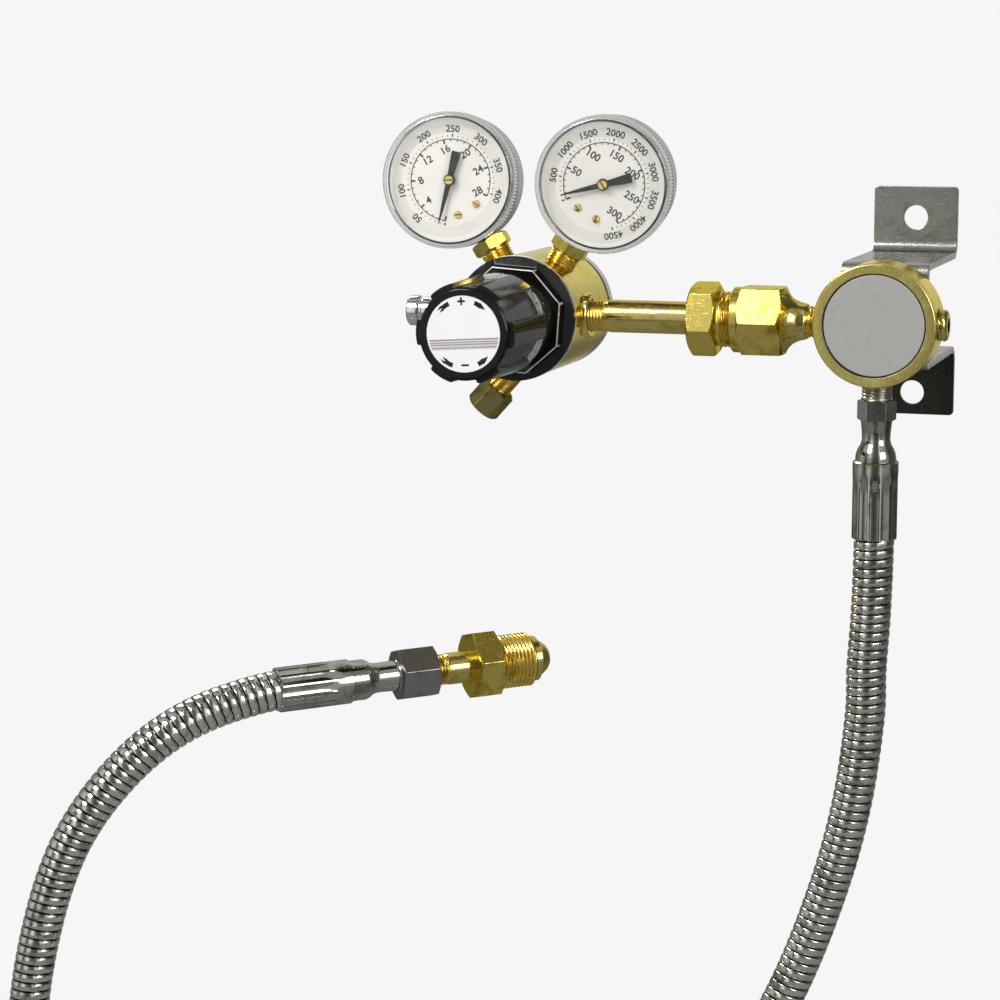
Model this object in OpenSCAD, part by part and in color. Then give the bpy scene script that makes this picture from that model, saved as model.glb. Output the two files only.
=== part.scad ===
// Gas regulator station: a bracket that holds a round block, a two gauge regulator
// screwed to its side and a short armoured hose that leads down to a cylinder.
// Millimetres. +Z up, the wall plane is Y=0, the front looks along -Y.

/* [Bracket] */
// Width of the bracket strip
bracket_w = 38; // [34:0.5:44]
// Thickness of the bracket strip
bracket_t = 3.2; // [2.5:0.1:4]
// Inner radius of the bracket's bends
bend_r = 1.8; // [1:0.1:3]
// Distance of the front plate's face from the wall
standoff = 82.5; // [76:0.5:90]
// Height of the raised front plate
plate_h = 50; // [46:0.5:58]
// How much nearer the middle the lower leg and foot end stand
low_lift = 4; // [0:0.5:5]
// Distance between the two wall bolts
bolt_gap = 80; // [76:0.5:90]
// Radius of a wall bolt hole
bolt_r = 5.5; // [4.5:0.1:6]

/* [Station block] */
// Radius of the round block
block_r = 26.5; // [25:0.5:30]
// Depth of the block from its back to its front
block_d = 24; // [22:0.5:30]
// Radius of the bare disc on the block's front
disc_r = 21.6; // [18:0.1:22]
// Radius of the pipe thread of every quarter inch port
pipe_r = 6.8; // [6.5:0.05:7]

/* [Inlet line] */
// Distance from the block's axis to the regulator's axis
reg_gap = 155; // [152:0.5:170]
// Width across the flats of the hexagon nuts
nut_af = 28.6; // [27:0.1:30]
// Length of a hexagon nut's flats
nut_l = 12.2; // [11:0.2:15]
// Radius of the nut's outside thread
nut_thread_r = 12.25; // [12:0.05:12.5]
// Length of the nut's outside thread
nut_thread_l = 17; // [15:0.5:18]
// Radius of the inlet nipple
nipple_r = 7.2; // [6.6:0.1:7.4]

/* [Regulator] */
// Radius of the regulator's body
body_r = 27; // [26:0.5:30]
// Length of the body behind the port plane
body_back = 32; // [30:0.5:36]
// Thickness of the rear cap
cap_t = 10.5; // [9:0.5:14]
// Width across the flats of the bonnet's octagon
octagon_af = 45; // [42:0.2:47]
// Length of the adjusting knob
knob_l = 48; // [46:0.5:54]
// Gap between the knob and the bonnet's octagon
knob_gap = 15; // [12:0.5:17]
// Radius of the knob between its grips
knob_core_r = 17.9; // [17.6:0.1:18.6]
// Radius of the knob's grips at the front
knob_grip_r = 21.4; // [20.4:0.1:22]
// Radius of the knob's grips at the back
knob_rear_r = 22.2; // [21.8:0.1:24]
// Number of grips round the knob
grips = 6; // [5:1:8]
// Radius of the disc on the knob's front
label_r = 15.9; // [15:0.1:16.2]
// Travel of the spring button over the knob's five turns
button_travel = 7.5; // [6:0.5:8]

/* [Gauges] */
// Distance from the regulator's axis to a gauge's centre
gauge_reach = 68; // [66:0.5:74]
// Lean of each gauge from upright, in degrees
gauge_lean = 31; // [31:0.5:36]
// Turn of each gauge about its own stem, in degrees
gauge_turn = 5; // [0:1:8]
// Outer radius of a gauge
gauge_r = 30; // [29:0.5:31]
// Length of a pointer from its hub to its tip
pointer_l = 19.6; // [17:0.1:22]

/* [Hose] */
// Radius of the armoured hose
hose_r = 8.75; // [8:0.05:9]
// Radius of a crimped ferrule
ferrule_r = 9.9; // [9.6:0.05:11]
// Length of a crimped ferrule
ferrule_l = 34; // [30:0.5:36]

/* [Hidden] */

// clearances
fit = 0.05;       // thread or spigot in its own hole
run = 0.05;       // shaft that turns in a bore
loose = 0.25;     // nut that spins on a nipple
gap = 0.02;       // faces that meet across a joint

// port plane and block
port_y = -standoff - block_d / 2;
block_face = -standoff - block_d;
flange_l = (bolt_gap - plate_h) / 2 + 14;
plate_screw_z = min(15, plate_h / 2 - low_lift - 10);
port_in = 13;     // radius at which every pipe port ends
passage_r = 3.5;

// inlet line, along X from the regulator's axis
hex_corner = 0.8 * nut_af;
nut_end = reg_gap - 69.3;
nut_x = nut_end - nut_l;
thread_end = nut_end + nut_thread_l;
adapter_face = nut_end + 6.4;
adapter_hex = adapter_face + 3.5;
adapter_cone = adapter_hex + 19.2;
adapter_neck = adapter_cone + 8.8;
shoulder_r = nut_thread_r - 2;

// regulator, along Y from the port plane
body_front = -22;
ledge = -16;
recess_r = body_r - 4.5;
skirt_r = recess_r - fit;
chamber_r = 17;
chamber_end = -12;
wall_back = -7;
bore_r = 8;
seat_t = 3;
flange_r = body_r + 0.3;
octagon_y = -27.5;
octagon_front = octagon_y - 5.5;
octagon_turn = -4;
knob_back = octagon_front - knob_gap;
knob_front = knob_back - knob_l;
tower_r = 15;
tower_front = knob_front + 34;
tower_wall = 6;
tower_in = tower_front + tower_wall;
button_r = 12.3;
button_t = 6;
button_y = tower_in + 2;
journal_r = 5;
screw_r = 4;
drive_r = 4.15;
spigot_r = body_r - 7;
spigot_l = 6;
seal_t = 1.5;
plate_y = ledge - 0.4;
gauge_hub = gauge_reach;
dial_screw_z = 15.2 - gauge_r;
relief_turn = 16; // place of the relief port round the body
relief_tilt = 42; // direction of the relief valve

// lower hose end
end_x = -250;
end_y = -71;
end_z = -161.8;
end_yaw = 40;
end_rise = 2;
fit_face = -(block_r + 32.5);

// route of the hose from the block's centre: x, y from the port plane, z
route = [[0, 0, -59], [0, 0, -76], [0, 0, -93], [-0.3, 0, -112], [-0.9, -0.1, -130],
  [-2, -0.6, -150], [-2.4, -0.7, -172.6], [-7.1, -1.8, -210.9], [-16.2, -4.6, -249.2],
  [-31.4, -8.1, -292.4], [-50.6, -13.5, -330.4], [-73, -20.6, -363.2], [-98, -29.1, -390.7],
  [-125, -38.6, -413.1], [-153.1, -48.9, -430.3], [-181.8, -59.7, -442.4], [-210.4, -70.6, -449.4],
  [-238.1, -81.3, -451.3], [-264.3, -91.6, -448.2], [-288.2, -101.2, -440],
  [-309.3, -109.7, -426.8], [-326.8, -116.8, -408.7], [-340, -122.2, -385.5],
  [-348.3, -125.7, -357.5], [-348.1, -125.7, -322.4], [-344.6, -124.4, -286.3],
  [-337.9, -121.8, -254.1], [-330.1, -118.8, -230.6], [-321.4, -115.3, -213.6],
  [-311.2, -110.7, -199], [-300, -105.1, -186.4], [-288.5, -98.4, -176.7], [-276.3, -90.5, -169.6],
  [-263.4, -81.2, -164.9], [-250, -71, -161.8], [-236.99, -60.08, -161.21],
  [-223.97, -49.16, -160.61]];

// Revolve round Y or X from points given as radius and position
module turn_y(p) rotate([-90, 0, 0]) rotate_extrude($fn = 96) polygon(p);
module turn_x(p) rotate([90, 0, 90]) rotate_extrude($fn = 96) polygon(p);
module turn_z(p) rotate_extrude($fn = 96) polygon(p);
module rod_y(r, a, b, n = 64) translate([0, a, 0]) rotate([-90, 0, 0]) cylinder(r = r, h = b - a, $fn = n);
module rod_x(r, a, b, n = 64) translate([a, 0, 0]) rotate([0, 90, 0]) cylinder(r = r, h = b - a, $fn = n);
module rod_z(r, a, b, n = 64) translate([0, 0, a]) cylinder(r = r, h = b - a, $fn = n);
module hex_x(af, a, b, spin) translate([a, 0, 0]) rotate([0, 90, 0]) rotate([0, 0, spin])
  cylinder(r = af / sqrt(3), h = b - a, $fn = 6);
module hex_z(af, a, b, spin) translate([0, 0, a]) rotate([0, 0, spin])
  cylinder(r = af / sqrt(3), h = b - a, $fn = 6);
// Hexagon with its corners turned off at both ends
module nut_x_solid(af, a, b, spin) intersection() {
  hex_x(af, a, b, spin);
  turn_x([[0, a], [af * 0.5, a], [af / sqrt(3) + 0.01, a + 1.6],
    [af / sqrt(3) + 0.01, b - 1.6], [af * 0.5, b], [0, b]]);
}
module nut_z_solid(af, a, b, spin) intersection() {
  hex_z(af, a, b, spin);
  turn_z([[0, a], [af * 0.5, a], [af / sqrt(3) + 0.01, a + 1],
    [af / sqrt(3) + 0.01, b - 1], [af * 0.5, b], [0, b]]);
}
module place_reg() translate([-reg_gap, port_y, 0]) children();
module place_end() translate([end_x, port_y + end_y, end_z]) rotate([0, -end_rise, end_yaw]) children();
module place_relief() place_reg() rotate([0, relief_turn, 0]) translate([0, 0, -body_r])
  rotate([0, relief_tilt - relief_turn, 0]) children();
module place_gauge(side) place_reg() rotate([0, side * gauge_lean, 0])
  translate([0, 0, gauge_hub]) rotate([0, 0, gauge_turn]) children();

// Sweep of a round section along a list of points, frames carried along the line
loop_side = [-0.4, 0.92, 0]; // square to the plane that the hose loop hangs in
function unit(v) = v / norm(v);
function side_of(t) = unit(cross(t, abs(t[2]) > 0.9 ? [0, 1, 0] : [0, 0, 1]));
function tangent(p, i) = unit(p[min(i + 1, len(p) - 1)] - p[max(i - 1, 0)]);
function sweep_points(p, r, n, flat) = [for (i = [0:len(p) - 1])
  let (t = tangent(p, i), u = flat ? unit(loop_side - (loop_side * t) * t) : side_of(t), v = cross(t, u))
  for (k = [0:n - 1]) p[i] + r * (cos(360 * k / n) * u + sin(360 * k / n) * v)];
function sweep_faces(m, n) = concat([[for (k = [0:n - 1]) k]],
  [[for (k = [0:n - 1]) (m - 1) * n + n - 1 - k]],
  [for (i = [0:m - 2]) for (k = [0:n - 1]) let (j = (k + 1) % n)
    [i * n + k, (i + 1) * n + k, (i + 1) * n + j, i * n + j]]);
function curve(a, b, c, d, t) = 0.5 * (2 * b + (c - a) * t + (2 * a - 5 * b + 4 * c - d) * t * t
  + (3 * b - a - 3 * c + d) * t * t * t);
function smooth(p) = let (m = len(p) - 1) concat([for (i = [0:m - 1]) for (t = [0, 0.5])
  curve(p[max(i - 1, 0)], p[i], p[i + 1], p[min(i + 2, m)], t)], [p[m]]);
// Coil spring along Y with closed, level ends
module coil(r, wire, a, b, turns) {
  steps = turns * 14;
  lead = b - a - wire;
  pts = [for (i = [0:steps]) let (f = i / steps, w = 360 * turns * f,
    g = min(1, max(0, (f * turns - 0.9) / (turns - 1.8))))
    [r * cos(w), a + wire / 2 + lead * g, r * sin(w)]];
  polyhedron(points = sweep_points(pts, wire / 2, 7, false), faces = sweep_faces(steps + 1, 7),
    convexity = 10);
}

// Bent strip that carries the block off the wall; one half of its section in Y and Z
foot_round = 4;
function arc(y, z, r, a) = [for (i = [0:6]) [y + r * cos(a[0] + (a[1] - a[0]) * i / 6),
  z + r * sin(a[0] + (a[1] - a[0]) * i / 6)]];
bend_o = bend_r + bracket_t;
function bracket_side(h, end) = concat(
  arc(-standoff + bend_o, h - bend_o, bend_o, [180, 90]),
  arc(-bracket_t - bend_r, h + bend_r, bend_r, [-90, 0]),
  [[-bracket_t, end], [0, end]],
  arc(-bend_o, h - bracket_t + bend_o, bend_o, [0, -90]),
  arc(-standoff + bracket_t + bend_r, h - bracket_t - bend_r, bend_r, [90, 180]));
foot_end = plate_h / 2 + flange_l;
upper_side = bracket_side(plate_h / 2, foot_end);
lower_side = bracket_side(plate_h / 2 - low_lift, foot_end - low_lift);
module wall_bracket() color("silver") difference() {
  translate([-bracket_w / 2, 0, 0]) rotate([90, 0, 90]) linear_extrude(bracket_w)
    polygon(concat(upper_side, [for (i = [len(lower_side) - 1:-1:0])
      [lower_side[i][0], -lower_side[i][1]]]));
  for (s = [0, 1], q = [0, 1]) mirror([s, 0, 0]) mirror([0, 0, q])
    translate([bracket_w / 2 - foot_round, 0, foot_end - q * low_lift - foot_round]) difference() {
      translate([0, -bracket_t - 1, 0]) cube([foot_round + 1, bracket_t + 2, foot_round + 1]);
      rod_y(foot_round, -bracket_t - 2, 2, 48);
    }
  for (z = [-bolt_gap / 2, bolt_gap / 2]) translate([0, 0, z]) rod_y(bolt_r, -bracket_t - 1, 1);
  for (z = [-plate_screw_z, plate_screw_z]) translate([0, 0, z])
    rod_y(2.8, -standoff - 1, -standoff + bracket_t + 1, 32);
}

// Two pan head screws that hold the block to the plate
module block_screws() color("dimgray") for (z = [-plate_screw_z, plate_screw_z])
  translate([0, 0, z]) difference() {
    union() {
      turn_y([[0, -standoff + bracket_t], [4.6, -standoff + bracket_t],
        [4.6, -standoff + bracket_t + 2], [3.6, -standoff + bracket_t + 3],
        [0, -standoff + bracket_t + 3]]);
      rod_y(2.45, -standoff - 4.4, -standoff + bracket_t, 32);
    }
    translate([-0.6, -standoff + bracket_t + 1.4, -3]) cube([1.2, 3, 6]);
  }

// Round block with three pipe ports and a passage that joins them
module station_block() color("goldenrod") difference() {
  turn_y([[0, -standoff], [block_r - 1, -standoff], [block_r, -standoff - 1],
    [block_r, block_face + 1.2], [block_r - 1.2, block_face], [disc_r + 0.2, block_face],
    [disc_r + 0.2, block_face + 1.4], [0, block_face + 1.4]]);
  translate([0, port_y, 0]) {
    rod_x(pipe_r + fit, -block_r - 1, -port_in);
    rod_x(pipe_r + fit, port_in, block_r + 1);
    rod_z(pipe_r + fit, -block_r - 1, -port_in);
    rod_x(passage_r, -port_in - 1, port_in + 1, 32);
    rod_z(passage_r, -port_in - 1, 0, 32);
  }
  for (z = [-plate_screw_z, plate_screw_z]) translate([0, 0, z])
    rod_y(2.5, -standoff - 4.6, -standoff + 1, 32);
}

// Bare disc let into the block's front
module label_plate() color("lightgray")
  turn_y([[0, block_face + 1.4], [disc_r, block_face + 1.4], [disc_r, block_face + 0.5],
    [disc_r - 0.3, block_face + 0.2], [0, block_face + 0.2]]);

// Plug with a hexagon socket in the free port
module port_plug() color("goldenrod") translate([0, port_y, 0]) difference() {
  turn_x([[0, port_in], [pipe_r - 0.6, port_in], [pipe_r, port_in + 0.8],
    [pipe_r, block_r + 2.6], [pipe_r - 0.8, block_r + 3.4], [0, block_r + 3.4]]);
  hex_x(6.4, block_r - 5, block_r + 4, 30);
}

// Adapter that takes the inlet nut and screws into the block
module inlet_adapter() color("gold") place_reg() difference() {
  union() {
    turn_x([[0, adapter_face], [13.6, adapter_face], [14.2, adapter_face + 0.6],
      [14.2, adapter_hex], [0, adapter_hex]]);
    nut_x_solid(nut_af, adapter_hex, adapter_cone, 8.5);
    turn_x([[0, adapter_cone], [13.6, adapter_cone], [11.2, adapter_cone + 1.8],
      [9.4, adapter_cone + 4], [8.3, adapter_cone + 6.4], [7.8, adapter_neck],
      [7.2, adapter_neck + 0.6], [pipe_r, adapter_neck + 1.2],
      [pipe_r, reg_gap - port_in - 0.8], [pipe_r - 0.6, reg_gap - port_in],
      [0, reg_gap - port_in]]);
  }
  turn_x([[0, adapter_face - 1], [nut_thread_r + fit, adapter_face - 1],
    [nut_thread_r + fit, thread_end + 1.2], [shoulder_r + 0.4, thread_end + 3.4],
    [4.6, thread_end + 11.2], [0, thread_end + 11.2]]);
  rod_x(3.4, thread_end + 11, reg_gap - port_in + 1, 32);
}

// Plain nipple with a rounded nose, screwed into a body; x runs to the nose
module nipple(start, shoulder, nose_bore) difference() {
  turn_x([[0, start], [pipe_r - 0.6, start], [pipe_r, start + 0.8], [pipe_r, start + 15.5],
    [nipple_r, start + 16.5], [nipple_r, shoulder], [shoulder_r, shoulder],
    [shoulder_r, shoulder + 2.6], [8.6, shoulder + 3.6], [7.4, shoulder + 5.6],
    [6.0, shoulder + 7.4], [4.4, shoulder + 8.6], [0, shoulder + 8.6]]);
  rod_x(2.6, start - 1, shoulder + 10, 32);
  rod_x(nose_bore, shoulder - 6, shoulder + 10, 32);
}
// Nut with an outside thread that turns on the nipple
module union_nut(a, spin) difference() {
  union() {
    nut_x_solid(nut_af, a, a + nut_l, spin);
    turn_x([[0, a + nut_l - 2], [nut_thread_r, a + nut_l - 2],
      [nut_thread_r, a + nut_l + nut_thread_l - 1.2],
      [nut_thread_r - 1.2, a + nut_l + nut_thread_l], [0, a + nut_l + nut_thread_l]]);
  }
  rod_x(nipple_r + loose, a - 1, a + nut_l + nut_thread_l + 1);
}
module inlet_nipple() color("goldenrod") place_reg() nipple(port_in + 1, thread_end + 0.1, 3.4);
module inlet_nut() color("gold") place_reg() union_nut(nut_x, 20.3);
// Sintered filter pressed in the nose of the inlet nipple
module inlet_filter() color("peru") place_reg() rod_x(3.38, thread_end - 2, thread_end + 6, 32);

// Body with the chambers, the six ports and the rear spigot
module port(angle, gas) rotate([0, angle, 0]) {
  rod_z(pipe_r + fit, port_in, body_r + 4);
  if (gas == "high") rod_z(2.4, 0, port_in + 1, 32);
  else translate([0, 0, port_in + 2]) rod_y(1.9, chamber_end - 1, 0, 32);
}
module regulator_body() color("goldenrod") place_reg() difference() {
  union() {
    turn_y([[0, body_front], [body_r, body_front], [body_r, body_back], [spigot_r, body_back],
      [spigot_r, body_back + spigot_l], [0, body_back + spigot_l]]);
    rod_x(10, body_r - 3, body_r + 1.2);
  }
  rod_y(recess_r, body_front - 1, ledge, 96);
  rod_y(chamber_r, ledge - 1, chamber_end, 96);
  rod_y(2.2, chamber_end - 1, wall_back + 1, 32);
  rod_y(bore_r, wall_back, body_back + spigot_l + 1);
  port(-gauge_lean, "low");
  port(gauge_lean, "high");
  port(90, "high");
  port(-90, "low");
  rotate([0, relief_turn, 0]) translate([0, 0, -body_r]) rotate([0, relief_tilt - relief_turn, 0])
    rod_z(4.85, -2, 9);
  rotate([0, relief_turn + 4, 0]) translate([0, 0, -body_r + 8]) rod_y(1.9, chamber_end - 5, 2, 32);
}

// Black bonnet with a faceted flange and a tower inside the knob
module bonnet() color("#202020") place_reg() difference() {
  union() {
    rod_y(flange_r, body_front - 3, body_front, 96);
    intersection() {
      rod_y(flange_r, octagon_y, body_front - 2.5, 96);
      translate([0, octagon_y, 0]) rotate([-90, 0, 0]) rotate([0, 0, 22.5 - octagon_turn])
        cylinder(r1 = octagon_af / 2 / cos(22.5) + 0.6, r2 = flange_r / cos(22.5), h = 2.5, $fn = 8);
    }
    translate([0, octagon_front, 0]) rotate([-90, 0, 0]) rotate([0, 0, 22.5 - octagon_turn])
      cylinder(r = octagon_af / 2 / cos(22.5), h = octagon_y - octagon_front + 0.5, $fn = 8);
    turn_y([[0, tower_front], [tower_r, tower_front], [tower_r, octagon_front - 7],
      [tower_r + 4, octagon_front - 3], [tower_r + 5, octagon_front + 0.5], [0, octagon_front + 0.5]]);
    rod_y(skirt_r, body_front - 0.5, plate_y, 96);
  }
  rod_y(journal_r + run, tower_front - 1, tower_in + 1);
  rod_y(button_r + 0.2, tower_in, body_front + 1);
  for (s = [0, 180]) rotate([0, s, 0])
    translate([0, tower_in, -2]) cube([button_r + 1.6, button_travel + button_t + 6, 4]);
  rod_y(chamber_r, body_front, plate_y + 1, 96);
}

// Bright cap over the back of the body, with its seal
module rear_cap() color("lightgray") place_reg() difference() {
  turn_y([[0, body_back + seal_t], [body_r, body_back + seal_t],
    [body_r, body_back + cap_t - 3.4], [body_r - 0.6, body_back + cap_t - 1.4],
    [body_r - 2, body_back + cap_t], [body_r - 5, body_back + cap_t + 1.2],
    [body_r - 12, body_back + cap_t + 1.9], [0, body_back + cap_t + 2.2]]);
  rod_y(spigot_r + fit, body_back, body_back + spigot_l + 0.2, 96);
}
module cap_seal() color("black") place_reg()
  turn_y([[spigot_r + fit, body_back], [body_r - 1, body_back],
    [body_r - 0.8, body_back + seal_t / 2], [body_r - 1, body_back + seal_t],
    [spigot_r + fit, body_back + seal_t]]);
// Plug that closes the high pressure chamber and guides the poppet
module rear_plug() color("goldenrod") place_reg() difference() {
  rod_y(bore_r - fit, 20, body_back + spigot_l - 2);
  rod_y(2.1, 19, 27, 32);
  translate([0, body_back, 0]) rotate([-90, 0, 0]) cylinder(r = 4, h = 8, $fn = 6);
}

// Grip knob, hollow over the bonnet's tower
module adjusting_knob() color("#161616") place_reg() difference() {
  union() {
    turn_y([[0, knob_front], [knob_core_r - 1.2, knob_front], [knob_core_r, knob_front + 1.2],
      [knob_core_r, knob_back - 3.6], [knob_rear_r - 0.4, knob_back - 3.4],
      [knob_rear_r - 0.4, knob_back - 0.6], [knob_rear_r - 1, knob_back], [0, knob_back]]);
    for (i = [0:grips - 1]) rotate([0, i * 360 / grips - 15, 0]) rotate([-90, 0, 0])
      rotate_extrude(angle = 30, $fn = 96) polygon([[17, knob_front + 1.8],
        [knob_grip_r - 1, knob_front + 1.8], [knob_grip_r, knob_front + 2.8],
        [knob_rear_r, knob_back - 2], [knob_rear_r - 0.8, knob_back - 1],
        [17, knob_back - 1]]);
  }
  rod_y(label_r + 0.15, knob_front - 1, knob_front + 0.8, 96);
  rod_y(tower_r + 0.8, tower_front - 3.5, knob_back + 1, 96);
  rod_y(drive_r, knob_front + 5, tower_front);
}
module knob_label() color("white") place_reg() rod_y(label_r, knob_front + 0.2, knob_front + 0.8, 96);

// Screw that turns in the tower and moves the button, kept in by a clip
module adjusting_screw() color("gray") place_reg() union() {
  rod_y(drive_r - fit, knob_front + 5.2, tower_front - 2.2);
  turn_y([[0, tower_front - 2.3], [3.6, tower_front - 2.3], [3.6, tower_front - 1],
    [journal_r, tower_front - 1], [journal_r, tower_in], [7, tower_in + gap],
    [7, tower_in + 1.7], [screw_r, tower_in + 1.7], [screw_r, tower_in + 21.5],
    [screw_r - 1, tower_in + 22.5], [0, tower_in + 22.5]]);
}
module screw_clip() color("black") place_reg() difference() {
  rod_y(8, tower_front - 2.1, tower_front - 1.1);
  rod_y(3.65, tower_front - 3, tower_front);
  translate([-1.6, tower_front - 3, 0]) cube([3.2, 3, 10]);
}

// Button with two lugs that the screw drives towards the spring
module spring_button() color("gray") place_reg() difference() {
  union() {
    rod_y(button_r, button_y, button_y + button_t, 96);
    rod_y(8, button_y + button_t - 0.5, button_y + button_t + 3);
    for (s = [0, 180]) rotate([0, s, 0]) translate([0, button_y, -1.9])
      cube([button_r + 1.4, button_t, 3.8]);
  }
  rod_y(screw_r + run, button_y - 1, button_y + button_t + 4);
}
module range_spring() color("darkgray") place_reg()
  coil(9.9, 2.4, button_y + button_t + 0.1, plate_y - 2.1, 5.5);

// Thin diaphragm and the plate that the spring bears on
module diaphragm() color("lightgray") place_reg() rod_y(skirt_r - 0.2, plate_y + 0.02, ledge, 96);
module diaphragm_plate() color("silver") place_reg()
  turn_y([[0, plate_y - 4.6], [6.6, plate_y - 4.6], [8, plate_y - 3.4], [8, plate_y - 2],
    [14.5, plate_y - 2], [15, plate_y - 1.5], [15, plate_y - gap], [0, plate_y - gap]]);

// Main valve, closed by its spring
module valve_seat() color("ivory") place_reg() difference() {
  rod_y(bore_r - fit, wall_back, wall_back + seat_t);
  rod_y(2.2, wall_back - 1, wall_back + seat_t + 1, 32);
}
module poppet() color("gray") place_reg()
  turn_y([[0, ledge + 0.05], [1.6, ledge + 0.05], [1.6, wall_back + seat_t + gap],
    [5, wall_back + seat_t + gap], [5, wall_back + seat_t + 3],
    [2, wall_back + seat_t + 3], [2, 22.5], [0, 22.5]]);
module poppet_spring() color("darkgray") place_reg()
  coil(4.2, 0.9, wall_back + seat_t + 3.1, 19.9, 7);

// Relief valve screwed into the body's lower side
module relief_body() color("goldenrod") place_relief() difference() {
  union() {
    rod_z(4.8, -5.4, 7.4);
    rod_z(5.2, -10.4, -5.4);
    nut_z_solid(14.2, -23, -10.2, 12);
  }
  rod_z(2, -11, 8, 32);
  rod_z(4.6, -24, -10.5);
}
module relief_poppet() color("gray") place_relief()
  turn_z([[0, -10.5 - gap], [4.3, -10.5 - gap], [4.3, -12.3], [1.6, -12.3], [1.6, -15.5], [0, -15.5]]);
module relief_spring() color("darkgray") place_relief() rotate([90, 0, 0])
  coil(3, 0.8, -19.3, -12.4, 5);
module relief_plug() color("goldenrod") place_relief() difference() {
  rod_z(4.6 - fit, -22.5, -19.4);
  rod_z(1.9, -23, -19, 32);
}

// Bright outlet fitting with a tapped end
module outlet_fitting() color("lightgray") place_reg() difference() {
  union() {
    turn_x([[0, -56.6], [6, -56.6], [6.9, -55.8], [6.9, -51.6], [6.3, -51], [6.3, -36],
      [pipe_r, -35.4], [pipe_r, -port_in - 1.8], [pipe_r - 0.6, -port_in - 1],
      [0, -port_in - 1]]);
    nut_x_solid(17.4, -37.5, -body_r - 2.4, 0);
  }
  rod_x(4.3, -57.6, -44);
  rod_x(2.6, -47, 0, 32);
}

// Parts of a gauge; the stem points down, the face looks along -Y
dial_y = -8;
lens_y = -14.6;
case_back = 13;
module stem_block() intersection() {
  translate([-8, -5.4, -gauge_r + 2.2]) cube([16, 11, 13.4]);
  rod_y(gauge_r - 2.25, -6, 6);
}
module socket() difference() {
  union() {
    turn_z([[0, port_in + 1 - gauge_hub], [pipe_r - 0.6, port_in + 1 - gauge_hub],
      [pipe_r, port_in + 1.8 - gauge_hub], [pipe_r, -gauge_r - 4.9], [0, -gauge_r - 4.9]]);
    nut_z_solid(14.3, -gauge_r - 5.4, -gauge_r, 30);
    rod_z(5, -gauge_r - 0.5, -gauge_r + 3, 48);
    stem_block();
    for (s = [-1, 1]) translate([s * 4.7, 0, dial_screw_z]) rod_y(3, dial_y + 0.1, 5.6, 32);
  }
  rod_z(2, port_in - gauge_hub, -gauge_r + 6, 32);
  for (s = [-1, 1]) translate([s * 4.7, 0, dial_screw_z]) rod_y(1.2, dial_y - 1, 1, 24);
}
module gauge_case() difference() {
  turn_y([[0, case_back], [gauge_r - 3, case_back], [gauge_r - 1.2, case_back - 1.8],
    [gauge_r - 1.2, dial_y - 1.2], [gauge_r - 2, dial_y - 1.2], [gauge_r - 2, case_back - 1.2],
    [0, case_back - 1.2]]);
  rod_z(5.2, -gauge_r - 1, -gauge_r + 6, 48);
}
module bourdon() difference() {
  rotate([90, 0, 0]) translate([0, 0, -5]) rotate([0, 0, -66]) rotate_extrude(angle = 246, $fn = 96)
    translate([18.2, 0]) square([1.8, 7]);
  stem_block();
}
module movement() difference() {
  union() {
    translate([-7, -5, -8]) cube([14, 0.9, 17]);
    translate([-7, 2.4, -8]) cube([14, 0.9, 17]);
    for (x = [-5.4, 5.4]) translate([x, 0, -6.4]) rod_y(1.1, -4.5, 3, 24);
    for (x = [-5.4, 5.4]) translate([x, 0, 7.2]) rod_y(1.1, -4.5, 3, 24);
  }
  rod_y(1, -7, 5, 24);
}
module dial() difference() {
  rod_y(gauge_r - 2.3, dial_y - 0.6, dial_y, 96);
  rod_y(1.6, dial_y - 2, dial_y + 1, 24);
  for (s = [-1, 1]) translate([s * 4.7, 0, dial_screw_z]) rod_y(1.3, dial_y - 2, dial_y + 1, 24);
}
module dial_screws() for (s = [-1, 1]) translate([s * 4.7, 0, dial_screw_z]) difference() {
  union() {
    turn_y([[0, dial_y - 1.5], [1.2, dial_y - 1.5], [1.9, dial_y - 0.9], [1.9, dial_y - 0.6],
      [0, dial_y - 0.6]]);
    rod_y(1.15, dial_y - 0.6, 0.8, 24);
  }
  translate([-2, dial_y - 2, -0.25]) cube([4, 0.9, 0.5]);
}
module pointer() rotate([0, 45, 0]) difference() {
  translate([0, -10.3, 0]) rotate([90, 0, 0]) linear_extrude(0.5)
    polygon([[-0.35, -pointer_l], [0.35, -pointer_l], [1.1, -8], [1.3, 0], [2.1, 12.6],
      [0, 13.1], [-2.1, 12.6], [-1.3, 0], [-1.1, -8]]);
  rod_y(0.94, -12, -9, 24);
}
module pointer_hub() difference() {
  turn_y([[0, -12.3], [2.4, -12.3], [2.9, -11.8], [2.9, -10.82], [0.93, -10.82], [0.93, -4],
    [0, -4]]);
  translate([-3, -13, -0.35]) cube([6, 1.1, 0.7]);
}
module lens() turn_y([[0, lens_y], [gauge_r - 3.4, lens_y], [gauge_r - 2.6, lens_y + 0.8],
  [gauge_r, lens_y + 2.4], [gauge_r, dial_y + 2.8], [gauge_r - 1.15, dial_y + 2.8],
  [gauge_r - 1.15, dial_y - 1.3], [gauge_r - 2.8, dial_y - 1.3], [gauge_r - 3.6, lens_y + 1.6],
  [0, lens_y + 1.6]]);

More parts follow.
